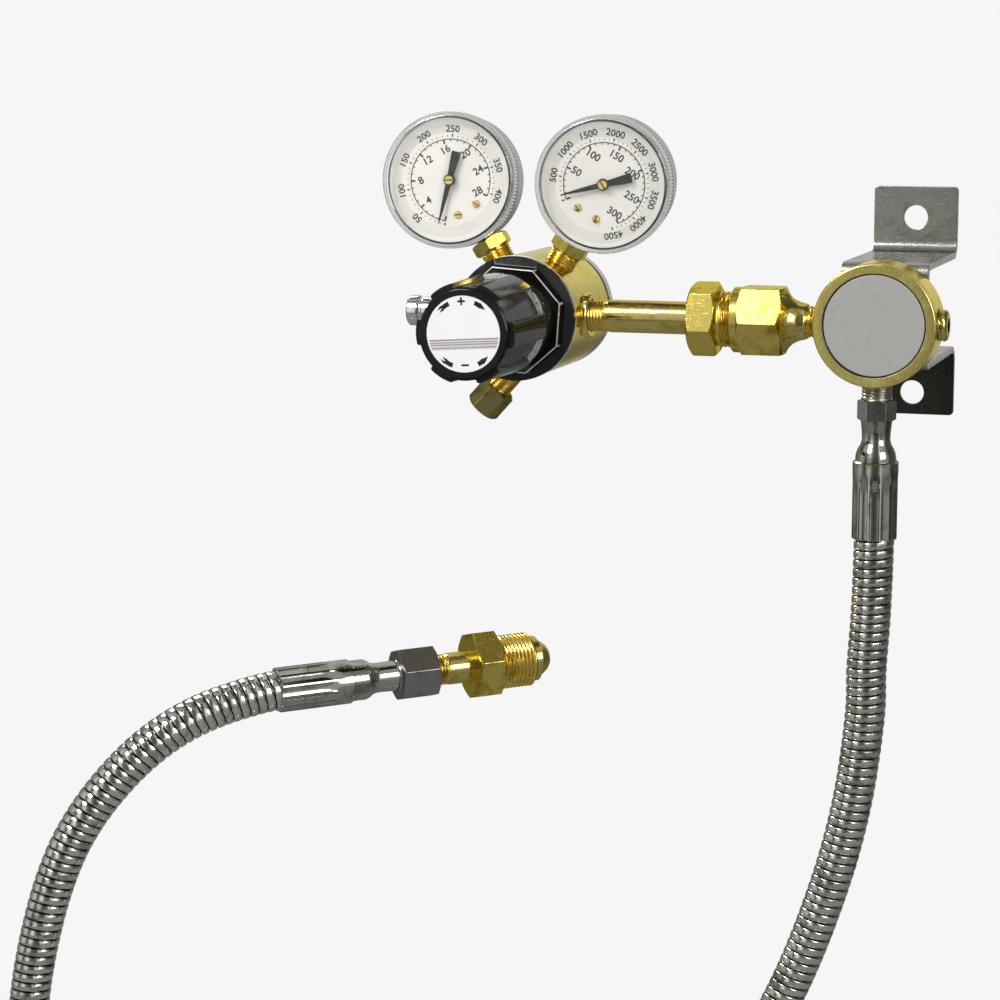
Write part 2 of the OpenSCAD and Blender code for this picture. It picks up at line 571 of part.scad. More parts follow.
module outlet_gauge_socket() color("goldenrod") place_gauge(-1) socket();
module outlet_gauge_case() color("silver") place_gauge(-1) gauge_case();
module outlet_gauge_tube() color("peru") place_gauge(-1) bourdon();
module outlet_gauge_movement() color("goldenrod") place_gauge(-1) movement();
module outlet_gauge_dial() color("white") place_gauge(-1) dial();
module outlet_gauge_screws() color("gold") place_gauge(-1) dial_screws();
module outlet_gauge_pointer() color("#101010") place_gauge(-1) pointer();
module outlet_gauge_hub() color("gold") place_gauge(-1) pointer_hub();
module outlet_gauge_lens() color("lightblue", 0.3) place_gauge(-1) lens();
module inlet_gauge_socket() color("goldenrod") place_gauge(1) socket();
module inlet_gauge_case() color("silver") place_gauge(1) gauge_case();
module inlet_gauge_tube() color("peru") place_gauge(1) bourdon();
module inlet_gauge_movement() color("goldenrod") place_gauge(1) movement();
module inlet_gauge_dial() color("white") place_gauge(1) dial();
module inlet_gauge_screws() color("gold") place_gauge(1) dial_screws();
module inlet_gauge_pointer() color("#101010") place_gauge(1) pointer();
module inlet_gauge_hub() color("gold") place_gauge(1) pointer_hub();
module inlet_gauge_lens() color("lightblue", 0.3) place_gauge(1) lens();

// Armoured hose along its route
hose_line = [for (p = smooth(route)) [p[0], port_y + p[1], p[2] + (p[2] > -60 ? fit_face + 59 : 0)]];
module hose_tube() color("silver")
  polyhedron(points = sweep_points(hose_line, hose_r - 0.05, 12, true),
    faces = sweep_faces(len(hose_line), 12), convexity = 10);

// Fitting from the block down to the hose, and the crimped ferrule below it
module hose_top_fitting() color("lightgray") translate([0, port_y, 0]) difference() {
  union() {
    turn_z([[0, fit_face], [8.8, fit_face], [8.8, fit_face + 1.5], [6.2, fit_face + 9.5],
      [7.3, fit_face + 17.5], [0, fit_face + 17.5]]);
    nut_z_solid(14.6, fit_face + 17.5, fit_face + 26.5, 8);
    turn_z([[0, fit_face + 26.4], [pipe_r, fit_face + 26.4], [pipe_r, -port_in - 1.8],
      [pipe_r - 0.6, -port_in - 1], [0, -port_in - 1]]);
  }
  rod_z(3, fit_face - 1, -port_in, 32);
}
module top_ferrule() color("silver") translate([0, port_y, 0])
  turn_z([[hose_r, fit_face - ferrule_l], [ferrule_r - 0.5, fit_face - ferrule_l],
    [ferrule_r, fit_face - ferrule_l + 0.8], [ferrule_r, fit_face - 0.8],
    [ferrule_r - 0.5, fit_face], [hose_r, fit_face]]);
module lower_ferrule() color("silver") place_end()
  turn_x([[hose_r, 0], [ferrule_r - 0.5, 0], [ferrule_r, 0.8], [ferrule_r, ferrule_l - 0.8],
    [ferrule_r - 0.5, ferrule_l], [hose_r, ferrule_l]]);
module hose_end_fitting() color("lightgray") place_end() difference() {
  union() {
    turn_x([[0, ferrule_l], [8.8, ferrule_l], [9.1, ferrule_l + 0.6], [9.1, ferrule_l + 7.5],
      [7.4, ferrule_l + 10], [6.6, ferrule_l + 12.5], [6.6, ferrule_l + 22.9],
      [0, ferrule_l + 22.9]]);
    nut_x_solid(21.6, ferrule_l + 22.4, ferrule_l + 40, 14);
  }
  rod_x(pipe_r + fit, ferrule_l + 26, ferrule_l + 42);
  rod_x(3, ferrule_l - 1, ferrule_l + 27, 32);
}
nip0 = ferrule_l + 26.2;
cyl_nut_x = ferrule_l + 57.4;
cyl_shoulder = cyl_nut_x + nut_l + nut_thread_l + 0.1;
module cylinder_nipple() color("goldenrod") place_end() nipple(nip0, cyl_shoulder, 3.4);
module cylinder_nut() color("gold") place_end() union_nut(cyl_nut_x, 32);

wall_bracket();
block_screws();
station_block();
label_plate();
port_plug();
inlet_adapter();
inlet_nipple();
inlet_nut();
inlet_filter();
regulator_body();
bonnet();
rear_cap();
cap_seal();
rear_plug();
adjusting_knob();
knob_label();
adjusting_screw();
screw_clip();
spring_button();
range_spring();
diaphragm();
diaphragm_plate();
valve_seat();
poppet();
poppet_spring();
relief_body();
relief_poppet();
relief_spring();
relief_plug();
outlet_fitting();
outlet_gauge_socket();
outlet_gauge_case();
outlet_gauge_tube();
outlet_gauge_movement();
outlet_gauge_dial();
outlet_gauge_screws();
outlet_gauge_pointer();
outlet_gauge_hub();
outlet_gauge_lens();
inlet_gauge_socket();
inlet_gauge_case();
inlet_gauge_tube();
inlet_gauge_movement();
inlet_gauge_dial();
inlet_gauge_screws();
inlet_gauge_pointer();
inlet_gauge_hub();
inlet_gauge_lens();
hose_tube();
hose_top_fitting();
top_ferrule();
lower_ferrule();
hose_end_fitting();
cylinder_nipple();
cylinder_nut();
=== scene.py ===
import bpy
from math import atan2, cos, degrees, hypot, pi, radians, sin, sqrt
from mathutils import Matrix, Vector


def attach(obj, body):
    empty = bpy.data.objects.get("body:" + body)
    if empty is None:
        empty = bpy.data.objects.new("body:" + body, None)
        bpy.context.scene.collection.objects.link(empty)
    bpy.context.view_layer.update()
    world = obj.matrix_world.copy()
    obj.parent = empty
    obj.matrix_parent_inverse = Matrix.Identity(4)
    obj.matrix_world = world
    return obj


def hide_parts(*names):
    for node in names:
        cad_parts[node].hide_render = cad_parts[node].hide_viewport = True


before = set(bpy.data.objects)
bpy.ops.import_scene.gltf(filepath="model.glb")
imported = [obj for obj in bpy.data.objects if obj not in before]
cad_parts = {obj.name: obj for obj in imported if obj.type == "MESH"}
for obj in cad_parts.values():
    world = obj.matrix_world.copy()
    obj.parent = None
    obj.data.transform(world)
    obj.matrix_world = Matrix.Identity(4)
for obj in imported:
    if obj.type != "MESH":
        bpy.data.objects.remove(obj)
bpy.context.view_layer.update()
bpy.ops.object.select_all(action="DESELECT")
mm = 0.001

# Camera: 17.5 degrees to the right of the front and 9 degrees above, about 1.3 m off with a long lens.
view_side, view_up = radians(17.494), radians(9.046)
forward = Vector((-sin(view_side) * cos(view_up), cos(view_side) * cos(view_up), -sin(view_up)))
rightward = Vector((cos(view_side), sin(view_side), 0))
upward = rightward.cross(forward)
camera = bpy.data.objects.new("camera", bpy.data.cameras.new("camera"))
bpy.context.scene.collection.objects.link(camera)
camera.matrix_world = Matrix((
    (rightward.x, upward.x, -forward.x, 0.21025),
    (rightward.y, upward.y, -forward.y, -1.29880),
    (rightward.z, upward.z, -forward.z, 0.11675),
    (0, 0, 0, 1)))
camera.data.sensor_width = 36
camera.data.lens = 102.54
camera.data.clip_start = 0.05
bpy.context.scene.camera = camera
bpy.context.scene.view_settings.view_transform = "Standard"

# Hose: stainless strip wound into an interlocked armour tube, 17.5 mm across with a turn every 4 mm. It hangs
# in one loop from the ferrule under the block to the ferrule at the cylinder's nut, and runs on inside both.
hose_route = [[0, 0, -59], [0, 0, -76], [0, 0, -93], [-0.3, 0, -112], [-0.9, -0.1, -130],
  [-2, -0.6, -150], [-2.4, -0.7, -172.6], [-7.1, -1.8, -210.9], [-16.2, -4.6, -249.2],
  [-31.4, -8.1, -292.4], [-50.6, -13.5, -330.4], [-73, -20.6, -363.2], [-98, -29.1, -390.7],
  [-125, -38.6, -413.1], [-153.1, -48.9, -430.3], [-181.8, -59.7, -442.4], [-210.4, -70.6, -449.4],
  [-238.1, -81.3, -451.3], [-264.3, -91.6, -448.2], [-288.2, -101.2, -440],
  [-309.3, -109.7, -426.8], [-326.8, -116.8, -408.7], [-340, -122.2, -385.5],
  [-348.3, -125.7, -357.5], [-348.1, -125.7, -322.4], [-344.6, -124.4, -286.3],
  [-337.9, -121.8, -254.1], [-330.1, -118.8, -230.6], [-321.4, -115.3, -213.6],
  [-311.2, -110.7, -199], [-300, -105.1, -186.4], [-288.5, -98.4, -176.7], [-276.3, -90.5, -169.6],
  [-263.4, -81.2, -164.9], [-250, -71, -161.8], [-236.99, -60.08, -161.21],
  [-223.97, -49.16, -160.61]]
port_y = -94.5
route = [Vector((x, port_y + y, z)) * mm for x, y, z in hose_route]


def between(points, steps):
    """Points on one smooth curve through the route's points"""
    line = []
    for i in range(len(points) - 1):
        a, b, c, d = (points[max(i - 1, 0)], points[i], points[i + 1], points[min(i + 2, len(points) - 1)])
        for k in range(steps):
            t = k / steps
            line.append(0.5 * (2 * b + (c - a) * t + (2 * a - 5 * b + 4 * c - d) * t * t
                               + (3 * b - a - 3 * c + d) * t ** 3))
    return line + [points[-1]]


hose_line = between(route, 24)
run = [0.0]
for a, b in zip(hose_line, hose_line[1:]):
    run.append(run[-1] + (b - a).length)
hose_length = run[-1]
loop_side = Vector((-0.4, 0.92, 0)).normalized()
hose_place = []
step, ring_pitch, around = 0.0004, 0.004, 28
armour_r, inmost = 8.75, 1.05
count = int(hose_length / step)
seek = 0
for i in range(count + 1):
    s = min(i * step, hose_length)
    while seek < len(run) - 2 and run[seek + 1] < s:
        seek += 1
    f = (s - run[seek]) / (run[seek + 1] - run[seek])
    centre = hose_line[seek].lerp(hose_line[seek + 1], f)
    t = (hose_line[min(seek + 2, len(run) - 1)] - hose_line[max(seek - 1, 0)]).normalized()
    u = (loop_side - loop_side.dot(t) * t).normalized()
    hose_place.append((centre, u, t.cross(u)))
# one turn of the strip, as a share of the pitch and a depth below the outside in millimetres
strip = [(0.0, 1.0), (0.07, 1.0), (0.10, 0.40), (0.14, 0.13), (0.22, 0.03), (0.34, 0.0), (0.60, 0.0), (0.76, 0.05),
         (0.85, 0.24), (0.87, 0.10), (0.93, 0.18), (0.96, 1.0)]
turns = int(hose_length / ring_pitch) + 3


def mode(kind):
    bpy.ops.object.mode_set(mode=kind)


bpy.ops.mesh.primitive_grid_add(x_subdivisions=around, y_subdivisions=turns * len(strip) - 1, size=0.1)
hose = bpy.context.object
hose.name = hose.data.name = "armour_hose"
hose_mesh = hose.data
depths = []
for j, v in enumerate(hose_mesh.vertices):
    row, k = divmod(j, around + 1)
    n, (share, deep) = row // len(strip) - 1, strip[row % len(strip)]
    s = (n + share + k / around) * ring_pitch
    deep = deep if 0 < s < hose_length else inmost
    centre, u, side = hose_place[min(max(int(s / step), 0), count)]
    w = 2 * pi * k / around
    v.co = centre + (armour_r - deep) * mm * (cos(w) * u + sin(w) * side)
    depths.append(deep / inmost)
groove = hose_mesh.attributes.new("groove", "FLOAT", "POINT")
groove.data.foreach_set("value", depths)
bpy.context.view_layer.objects.active = hose
hose.select_set(True)
mode("EDIT")
bpy.ops.mesh.select_all(action="SELECT")
bpy.ops.mesh.remove_doubles(threshold=1e-6)
bpy.ops.mesh.select_all(action="DESELECT")
bpy.ops.mesh.select_mode(type="EDGE")
bpy.ops.mesh.select_non_manifold()
bpy.ops.mesh.fill()
bpy.ops.mesh.select_all(action="SELECT")
bpy.ops.mesh.normals_make_consistent(inside=False)
mode("OBJECT")
bpy.ops.object.shade_smooth_by_angle(angle=radians(50))
hose.select_set(False)


def feed(tree, node, inputs):
    """Gives each input of a node its value, or a link where the value is another node's output"""
    for name, value in inputs.items():
        if isinstance(value, bpy.types.NodeSocket):
            tree.links.new(value, node.inputs[name])
        else:
            node.inputs[name].default_value = value
    return node


def added(tree, kind, inputs, operation=None):
    """A new node of a kind with its inputs fed; a Mix is always one of two colours"""
    node = tree.nodes.new("ShaderNode" + kind)
    if kind == "Mix":
        node.data_type = "RGBA"
    if operation:
        node.operation = operation
    return feed(tree, node, inputs)


# Handling marks that every metal here carries: cloudy stains, fine specks and short scratches
marks = bpy.data.node_groups.new("handling_marks", "ShaderNodeTree")
marks.interface.new_socket("Vector", in_out="INPUT", socket_type="NodeSocketVector")
marks.interface.new_socket("Scale", in_out="INPUT", socket_type="NodeSocketFloat").default_value = 1.0
for title in ("Stain", "Speck", "Scratch"):
    marks.interface.new_socket(title, in_out="OUTPUT", socket_type="NodeSocketFloat")
marks_in = marks.nodes.new("NodeGroupInput")
spot, coarseness = marks_in.outputs["Vector"], marks_in.outputs["Scale"]
cloud_size = added(marks, "Math", {0: coarseness, 1: 90}, "MULTIPLY")
cloud = added(marks, "TexNoise", {"Vector": spot, "Scale": cloud_size.outputs[0], "Detail": 6, "Roughness": 0.62,
                                  "Distortion": 0.6})
stain = added(marks, "MapRange", {"Value": cloud.outputs["Fac"], "From Min": 0.47, "From Max": 0.72})
stain.interpolation_type = "SMOOTHSTEP"
speck_size = added(marks, "Math", {0: coarseness, 1: 900}, "MULTIPLY")
speck = added(marks, "TexNoise", {"Vector": spot, "Scale": speck_size.outputs[0], "Detail": 3})
stretch = added(marks, "Mapping", {"Vector": spot, "Rotation": (0.5, 0.9, 0.3), "Scale": (160, 2600, 2600)})
streaks = added(marks, "TexNoise", {"Vector": stretch.outputs["Vector"], "Scale": 1, "Detail": 2})
scratch = added(marks, "MapRange", {"Value": streaks.outputs["Fac"], "From Min": 0.64, "From Max": 0.70})
feed(marks, marks.nodes.new("NodeGroupOutput"), {"Stain": stain.outputs["Result"], "Speck": speck.outputs["Fac"],
                                                 "Scratch": scratch.outputs["Result"]})


def metal(name, clean, stained, rough, scale=1.0, bump=0.04, metallic=1.0, scratched=0.5, coat=0.0):
    """A surface whose colour and gloss change with its handling marks; rough is its clean and stained roughness"""
    material = bpy.data.materials.new(name)
    material.use_nodes = True
    tree = material.node_tree
    where = added(tree, "TexCoord", {})
    wear = tree.nodes.new("ShaderNodeGroup")
    wear.node_tree = marks
    feed(tree, wear, {"Scale": scale, "Vector": where.outputs["Object"]})
    stain, scratch = wear.outputs["Stain"], wear.outputs["Scratch"]
    tint = added(tree, "Mix", {"Factor": stain, "A": (*clean, 1), "B": (*stained, 1)})
    gloss = added(tree, "MapRange", {"Value": stain, "To Min": rough[0], "To Max": rough[1]})
    dulled = added(tree, "Math", {0: scratch, 1: 0.25 * scratched, 2: gloss.outputs["Result"]}, "MULTIPLY_ADD")
    height = added(tree, "Math", {0: scratch, 1: -0.6 * scratched, 2: wear.outputs["Speck"]}, "MULTIPLY_ADD")
    relief = added(tree, "Bump", {"Strength": bump, "Distance": 0.0004, "Height": height.outputs[0]})
    surface = feed(tree, tree.nodes["Principled BSDF"], {
        "Metallic": metallic, "Coat Weight": coat, "Base Color": tint.outputs["Result"],
        "Roughness": dulled.outputs[0], "Normal": relief.outputs["Normal"]})
    if metallic > 0.9:
        surface.inputs["Specular Tint"].default_value = (*[c ** 0.5 for c in clean], 1)
    elif clean[0] < 0.03:
        surface.inputs["Specular IOR Level"].default_value = 0.12
    return material


def overlaid(material, share, colour):
    """Lays another colour over the material's own, as far as the share says"""
    tree = material.node_tree
    both = added(tree, "Mix", {"Factor": share, "A": tree.nodes["Mix"].outputs["Result"], "B": (*colour, 1)})
    feed(tree, tree.nodes["Principled BSDF"], {"Base Color": both.outputs["Result"]})


def stands_for(piece, node, body="station"):
    """The piece rides on a body in place of a node of the same finish"""
    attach(piece, body)
    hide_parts(node)
    return piece


hose_steel = metal("hose_steel", (0.80, 0.79, 0.72), (0.30, 0.29, 0.24), (0.07, 0.22), scale=1.4, bump=0.05)
# painted shade: the steel darkens with the depth of the groove between turns, and is dark all through inside the
# fittings
groove_shade_mask = added(hose_steel.node_tree, "Attribute", {})
groove_shade_mask.attribute_name = "groove"
overlaid(hose_steel, groove_shade_mask.outputs["Fac"], (0.045, 0.042, 0.036))
hose_mesh.materials.append(hose_steel)
stands_for(hose, "hose_tube")

# Ferrules and fittings of the hose: plated steel, turned, with each ferrule crimped flat all round in a die.
# The upper fitting screws up into the block, and the lower one takes the brass nipple of the cylinder's nut.
along_x = Matrix(((0, 0, 1, 0), (0, 1, 0, 0), (-1, 0, 0, 0), (0, 0, 0, 1)))
along_y = Matrix(((1, 0, 0, 0), (0, 0, 1, 0), (0, -1, 0, 0), (0, 0, 0, 1)))
upright = Matrix.Identity(4)
pipe_pitch = 1.41  # 18 turns to the inch


def at(x, y, z):
    return Matrix.Translation(Vector((x, y, z)) * mm)


def spun(angle, axis):
    return Matrix.Rotation(radians(angle), 4, axis)


def alone(piece):
    """Selects the piece and nothing else"""
    bpy.ops.object.select_all(action="DESELECT")
    piece.select_set(True)
    bpy.context.view_layer.objects.active = piece
    return piece


def named(name):
    """The shape just added, with its name, and with its turn and size worked into the mesh"""
    piece = bpy.context.object
    piece.name = piece.data.name = name
    bpy.ops.object.transform_apply()
    return piece


def placed(piece, place):
    """Moves the mesh to its place and leaves the object at the origin"""
    alone(piece).matrix_world = place
    bpy.ops.object.transform_apply()
    return piece


def turned(name, stations, place, sides=64):
    """Turned on Z: a disc extruded and scaled from station to station, each a height and a radius in millimetres"""
    h, r = stations[0]
    bpy.ops.mesh.primitive_circle_add(vertices=sides, radius=r * mm, fill_type="NGON", location=(0, 0, h * mm))
    piece = named(name)
    mode("EDIT")
    for h1, r1 in stations[1:]:
        bpy.ops.mesh.extrude_region_move(TRANSFORM_OT_translate={"value": (0, 0, (h1 - h) * mm)})
        bpy.ops.transform.resize(value=(r1 / r, r1 / r, 1), center_override=(0, 0, h1 * mm))
        h, r = h1, r1
    bpy.ops.mesh.select_all(action="SELECT")
    bpy.ops.mesh.normals_make_consistent(inside=False)
    mode("OBJECT")
    return placed(piece, place)


def cut(piece, tool, keep=False):
    """Takes the tool's shape out of the piece, or keeps only what lies inside it"""
    change = piece.modifiers.new("cut", "BOOLEAN")
    change.operation, change.object, change.solver = ("INTERSECT" if keep else "DIFFERENCE"), tool, "EXACT"
    bpy.context.view_layer.objects.active = piece
    bpy.ops.object.modifier_apply(modifier=change.name)
    bpy.data.objects.remove(tool)
    return piece


def hexagon(name, across, ends, place, turn=0, chamfer=1.5, ease=0.25):
    """A bar's six flats with softened corners, turned off round both ends"""
    a, b = ends
    bpy.ops.mesh.primitive_cylinder_add(vertices=6, radius=across / sqrt(3) * mm, depth=(b - a) * mm,
                                        location=(0, 0, (a + b) / 2 * mm), rotation=(0, 0, radians(turn + 30)))
    piece = named(name)
    mode("EDIT")
    bpy.ops.mesh.select_all(action="DESELECT")
    mode("OBJECT")
    for e in piece.data.edges:
        p, q = (piece.data.vertices[i].co for i in e.vertices)
        e.select = abs(p.z - q.z) > 0.5 * (b - a) * mm
    mode("EDIT")
    bpy.ops.mesh.select_mode(type="EDGE")
    bpy.ops.mesh.bevel(offset=ease * mm, segments=2, affect="EDGES")
    mode("OBJECT")
    corner, end = across / sqrt(3) + 0.3, across * 0.492
    tool = [(a - 0.001, end), (a + chamfer, corner), (b - chamfer, corner), (b + 0.001, end)]
    cut(piece, turned("chamfer_tool", tool, upright, 96), keep=True)
    return placed(piece, place)


def smoothed(piece, smooth=34):
    """Shades smooth between edges sharper than the angle, with flat faces kept flat"""
    alone(piece)
    bpy.ops.object.shade_smooth_by_angle(angle=radians(smooth))
    even = piece.modifiers.new("even", "WEIGHTED_NORMAL")
    even.keep_sharp = True
    bpy.ops.object.modifier_apply(modifier=even.name)
    return piece


def eased(piece, width=0.3, segments=2, limit=32, smooth=34, faces_slot=-1):
    """Breaks the sharp edges by a small bevel, then shades smooth between what is left"""
    soft = piece.modifiers.new("eased", "BEVEL")
    soft.width, soft.segments, soft.limit_method = width * mm, segments, "ANGLE"
    soft.angle_limit, soft.material = radians(limit), faces_slot
    bpy.context.view_layer.objects.active = piece
    bpy.ops.object.modifier_apply(modifier=soft.name)
    return smoothed(piece, smooth)


def painted(piece, *materials):
    piece.data.materials.clear()
    for m in materials:
        piece.data.materials.append(m)
    return piece


def repainted(piece, place, test, slot=1):
    """Gives another material to the faces that pass a test of their height and radius from the place"""
    back = place.inverted()
    for face in piece.data.polygons:
        c = (back @ face.center) / mm
        if test(c.z, hypot(c.x, c.y)):
            face.material_index = slot
    return piece


def threaded(name, before, thread, after, place, sides, *materials):
    """Turned on Z with a thread, given by its two ends, radius, pitch and depth, between the stations before and
    after. Eight rings to a turn move in along the helix, shallower at both ends. A second material goes on it."""
    a, b, radius, pitch, depth = thread
    n = int((b - a) / pitch * 8)
    rings = [(a + (b - a) * i / n, radius) for i in range(n + 1)]
    piece = painted(turned(name, before + rings + after, place, sides), *materials)
    back = place.inverted()
    for v in piece.data.vertices:
        p = (back @ v.co) / mm
        r = hypot(p.x, p.y)
        if a - 0.01 <= p.z <= b + 0.01 and abs(r - radius) < 0.05:
            phase = (p.z / pitch - atan2(p.y, p.x) / (2 * pi)) % 1
            fade = max(0, min(1, (p.z - a) / pitch + 0.15, (b - p.z) / pitch + 0.15))
            sunk = depth * (1 - abs(2 * phase - 1)) * fade
            v.co = place @ (Vector((p.x * (r - sunk) / r, p.y * (r - sunk) / r, p.z)) * mm)
    if len(materials) > 1:
        repainted(piece, place, lambda z, r: a <= z <= b and r < radius + 0.1)
    return piece


def joined(first, *others):
    """One mesh of several, with the first one's name"""
    bpy.ops.object.select_all(action="DESELECT")
    for o in (first, *others):
        o.select_set(True)
    bpy.context.view_layer.objects.active = first
    bpy.ops.object.join()
    return first


fitting_steel = metal("fitting_steel", (0.56, 0.55, 0.49), (0.22, 0.21, 0.17), (0.07, 0.20), bump=0.05)
# a near-black colour laid into creases and gaps as painted shade
crease_shade_paint = metal("crease_shade_paint", (0.06, 0.055, 0.045), (0.13, 0.12, 0.10), (0.35, 0.5), scale=3, bump=0.05)
thread_steel = metal("thread_steel", (0.56, 0.53, 0.47), (0.30, 0.27, 0.22), (0.26, 0.42), scale=2, bump=0.05)
hex_steel = metal("hex_steel", (0.36, 0.35, 0.34), (0.22, 0.21, 0.20), (0.28, 0.42), bump=0.10)
port = at(0, port_y, 0)


def crimped(name, a, b, round_end, place, turn):
    """A ferrule pressed by twelve jaws, with a ridge where the metal rose between them, round at its outer end"""
    flats, r, n = 12, 9.9, 16
    inward = 1 if b > a else -1
    first, last = a + 0.5 * inward, b - 0.6 * inward
    piece = turned(name, [(a, 9.3)] + [(first + (last - first) * i / n, r) for i in range(n + 1)] + [(b, 9.2)],
                   upright, 180)
    for v in piece.data.vertices:
        x, y, z = v.co / mm
        w = (atan2(y, x) + turn) % (2 * pi)
        jaw = int(w / (2 * pi / flats))
        q = w - (jaw + 0.5) * 2 * pi / flats
        pressed = max(0.0, min(1.0, abs(z - round_end) / 7 - 0.75 - 0.3 * (jaw * 7 % 5) / 5))
        hollow = 0.952 / cos(q) - 0.026 * (1 - (q * flats / pi / 0.8) ** 2)
        k = 1 if abs(q) > 0.8 * pi / flats else 1 - pressed + pressed * hollow
        v.co = Vector((x * k, y * k, z)) * mm
    painted(smoothed(placed(piece, place), 14), fitting_steel, crease_shade_paint)
    # the steep walls beside each crimp ridge take the dark paint, as painted shade in the creases
    middle = place.inverted()
    back = middle.to_3x3()
    for f in piece.data.polygons:
        n, c = back @ f.normal, middle @ f.center
        if abs(n.z) < 0.3 and (n.x * c.x + n.y * c.y) / hypot(c.x, c.y) < 0.86:
            f.material_index = 1
    return piece


stands_for(crimped("top_ferrule_crimped", -59, -93, -59, port, 0.1), "top_ferrule")

top_neck = turned("top_fitting", [(-60, 8.0), (-59.0, 8.8), (-57.4, 8.8), (-55.6, 8.5), (-53.8, 7.8), (-51.9, 6.7),
                                  (-50, 6.15), (-49, 6.1), (-45.5, 6.35), (-41.3, 6.8), (-41.3, 6.0)], port, 72)
painted(eased(top_neck, 0.25, 2, 40), fitting_steel)
top_hex = painted(smoothed(hexagon("top_fitting_hex", 14.6, (-41.5, -32.5), port, 8, 0.9)), fitting_steel)
top_stub = threaded("top_fitting_thread", [(-33, 6.0)], (-32.4, -25.5, 6.75, pipe_pitch, 0.62), [(-25.4, 5.8)], port,
                    72, thread_steel)
stands_for(joined(top_neck, top_hex, smoothed(top_stub, 50)), "hose_top_fitting")

end_place = (at(-250, port_y - 71, -161.8) @ spun(40, "Z")
             @ spun(-2, "Y") @ along_x)
lower_ferrule = stands_for(crimped("lower_ferrule_crimped", 34, 0, 34, end_place, 0.35), "lower_ferrule")
end_neck = turned("end_fitting", [(33, 8.4), (34, 9.1), (36, 9.1), (36.4, 9.0), (40.6, 9.05), (42.2, 8.5), (44, 7.2),
                                  (46.0, 6.7), (47.5, 6.6), (56.2, 6.9), (56.6, 7.4), (56.6, 6.5)], end_place, 72)
painted(eased(end_neck, 0.25, 2, 40), fitting_steel)
end_hex = painted(smoothed(hexagon("end_fitting_hex", 21.6, (56.4, 74), end_place, 14, 1.2)), hex_steel)
stands_for(joined(end_neck, end_hex), "hose_end_fitting")

# Cylinder nut and nipple: brass. The nut turns on the nipple, and its outside thread screws in a valve's outlet.
# Faint stains show on the flats, and the cut threads are brighter and more orange than the rest.
brass = metal("turned_brass", (0.74, 0.61, 0.20), (0.42, 0.31, 0.06), (0.11, 0.28), bump=0.05)
flat_brass = metal("flat_brass", (0.82, 0.67, 0.16), (0.42, 0.30, 0.04), (0.18, 0.36), scale=1.5, bump=0.09)
cut_brass = metal("cut_brass", (0.84, 0.64, 0.17), (0.56, 0.37, 0.06), (0.20, 0.36), scale=1.6, bump=0.05)
union_flats, nut_length = 28.6, 12.2


def union_nut(name, start, turn, place):
    """The hexagon, turned down to a thread of 0.965 in with fourteen turns to the inch"""
    root = start + nut_length
    flats = painted(smoothed(hexagon(name, union_flats, (start, root), place, turn, 1.7, 0.3)), flat_brass)
    thread = threaded(name + "_thread", [(root - 2, 11.0), (root - 1, 11.2), (root + 0.9, 11.2)],
                      (root + 1.0, root + 16, 12.2, 1.81, 0.95),
                      [(root + 17, 11.0), (root + 17, 8.2), (root + 15.5, 7.5)], place, 96, flat_brass, cut_brass)
    return joined(flats, smoothed(thread, 50))


def nipple_with_nose(name, start, plain, shoulder, place):
    """Plain tube with a thread at one end and a rounded nose inside the nut at the other"""
    nose = [(0, 7.15), (0, 10.2), (2.6, 10.2), (3.6, 8.6), (5.6, 7.4), (7.4, 6.0), (8.6, 4.4), (8.6, 3.4), (2, 3.3)]
    tube = threaded(name, [(start, 5.9)], (start + 0.6, plain, 6.95, pipe_pitch, 0.6),
                    [(plain + 0.3, 6.75), (plain + 1.2, 7.15)] + [(shoulder + h, r) for h, r in nose], place, 72, brass,
                    cut_brass)
    return smoothed(tube, 50)


cylinder_nut = stands_for(union_nut("cylinder_nut_cut", 91.4, 15.4, end_place), "cylinder_nut", "cylinder_union_nut")
cylinder_nipple = stands_for(nipple_with_nose("cylinder_nipple_turned", 60.2, 79.5, 120.7, end_place),
                             "cylinder_nipple")

# Wall bracket: one strip of stainless, 38 mm wide and 3.2 mm thick, bent twice on each side so that a raised
# plate stands 82 mm off the wall. The mill finish is cloudy and light, and the lower foot is painted dark: painted
# shade.
stainless = metal("rolled_stainless", (0.54, 0.54, 0.50), (0.28, 0.28, 0.24), (0.18, 0.32), scale=2.0, bump=0.16)
# painted shade: from 18.5 to 22.5 mm below the block's axis the steel fades to near black, so the lower foot shows dark
heights = added(stainless.node_tree, "SeparateXYZ",
                {0: stainless.node_tree.nodes["Texture Coordinate"].outputs["Object"]})
lower_foot_shade = added(stainless.node_tree, "MapRange", {"Value": heights.outputs["Z"], "From Min": -0.0185,
                                                   "From Max": -0.0225})
lower_foot_shade.interpolation_type = "SMOOTHSTEP"
overlaid(stainless, lower_foot_shade.outputs["Result"], (0.055, 0.055, 0.047))
bracket_line = []
for side, leg in ((1, 23.4), (-1, 19.4)):
    half = [(-1.6, leg + 30.6), (-1.6, leg + 6)]
    half += [(-7.6 + 6 * cos(radians(a)), leg + 6 - 6 * sin(radians(a))) for a in range(15, 91, 15)]
    half += [(-77.5 - 3.4 * sin(radians(a)), leg - 3.4 + 3.4 * cos(radians(a))) for a in range(0, 91, 15)]
    bracket_line += half if side == 1 else [(y, -z) for y, z in reversed(half)]
bpy.ops.mesh.primitive_plane_add(size=0.038, location=(0, -1.6 * mm, 0.035), rotation=(radians(90), 0, 0))
bracket = named("bent_bracket")
mode("EDIT")
bpy.ops.mesh.select_mode(type="EDGE")
bpy.ops.mesh.select_all(action="DESELECT")
mode("OBJECT")
low = min(v.co.z for v in bracket.data.vertices)
for e in bracket.data.edges:
    e.select = all(bracket.data.vertices[i].co.z < low + 1e-5 for i in e.vertices)
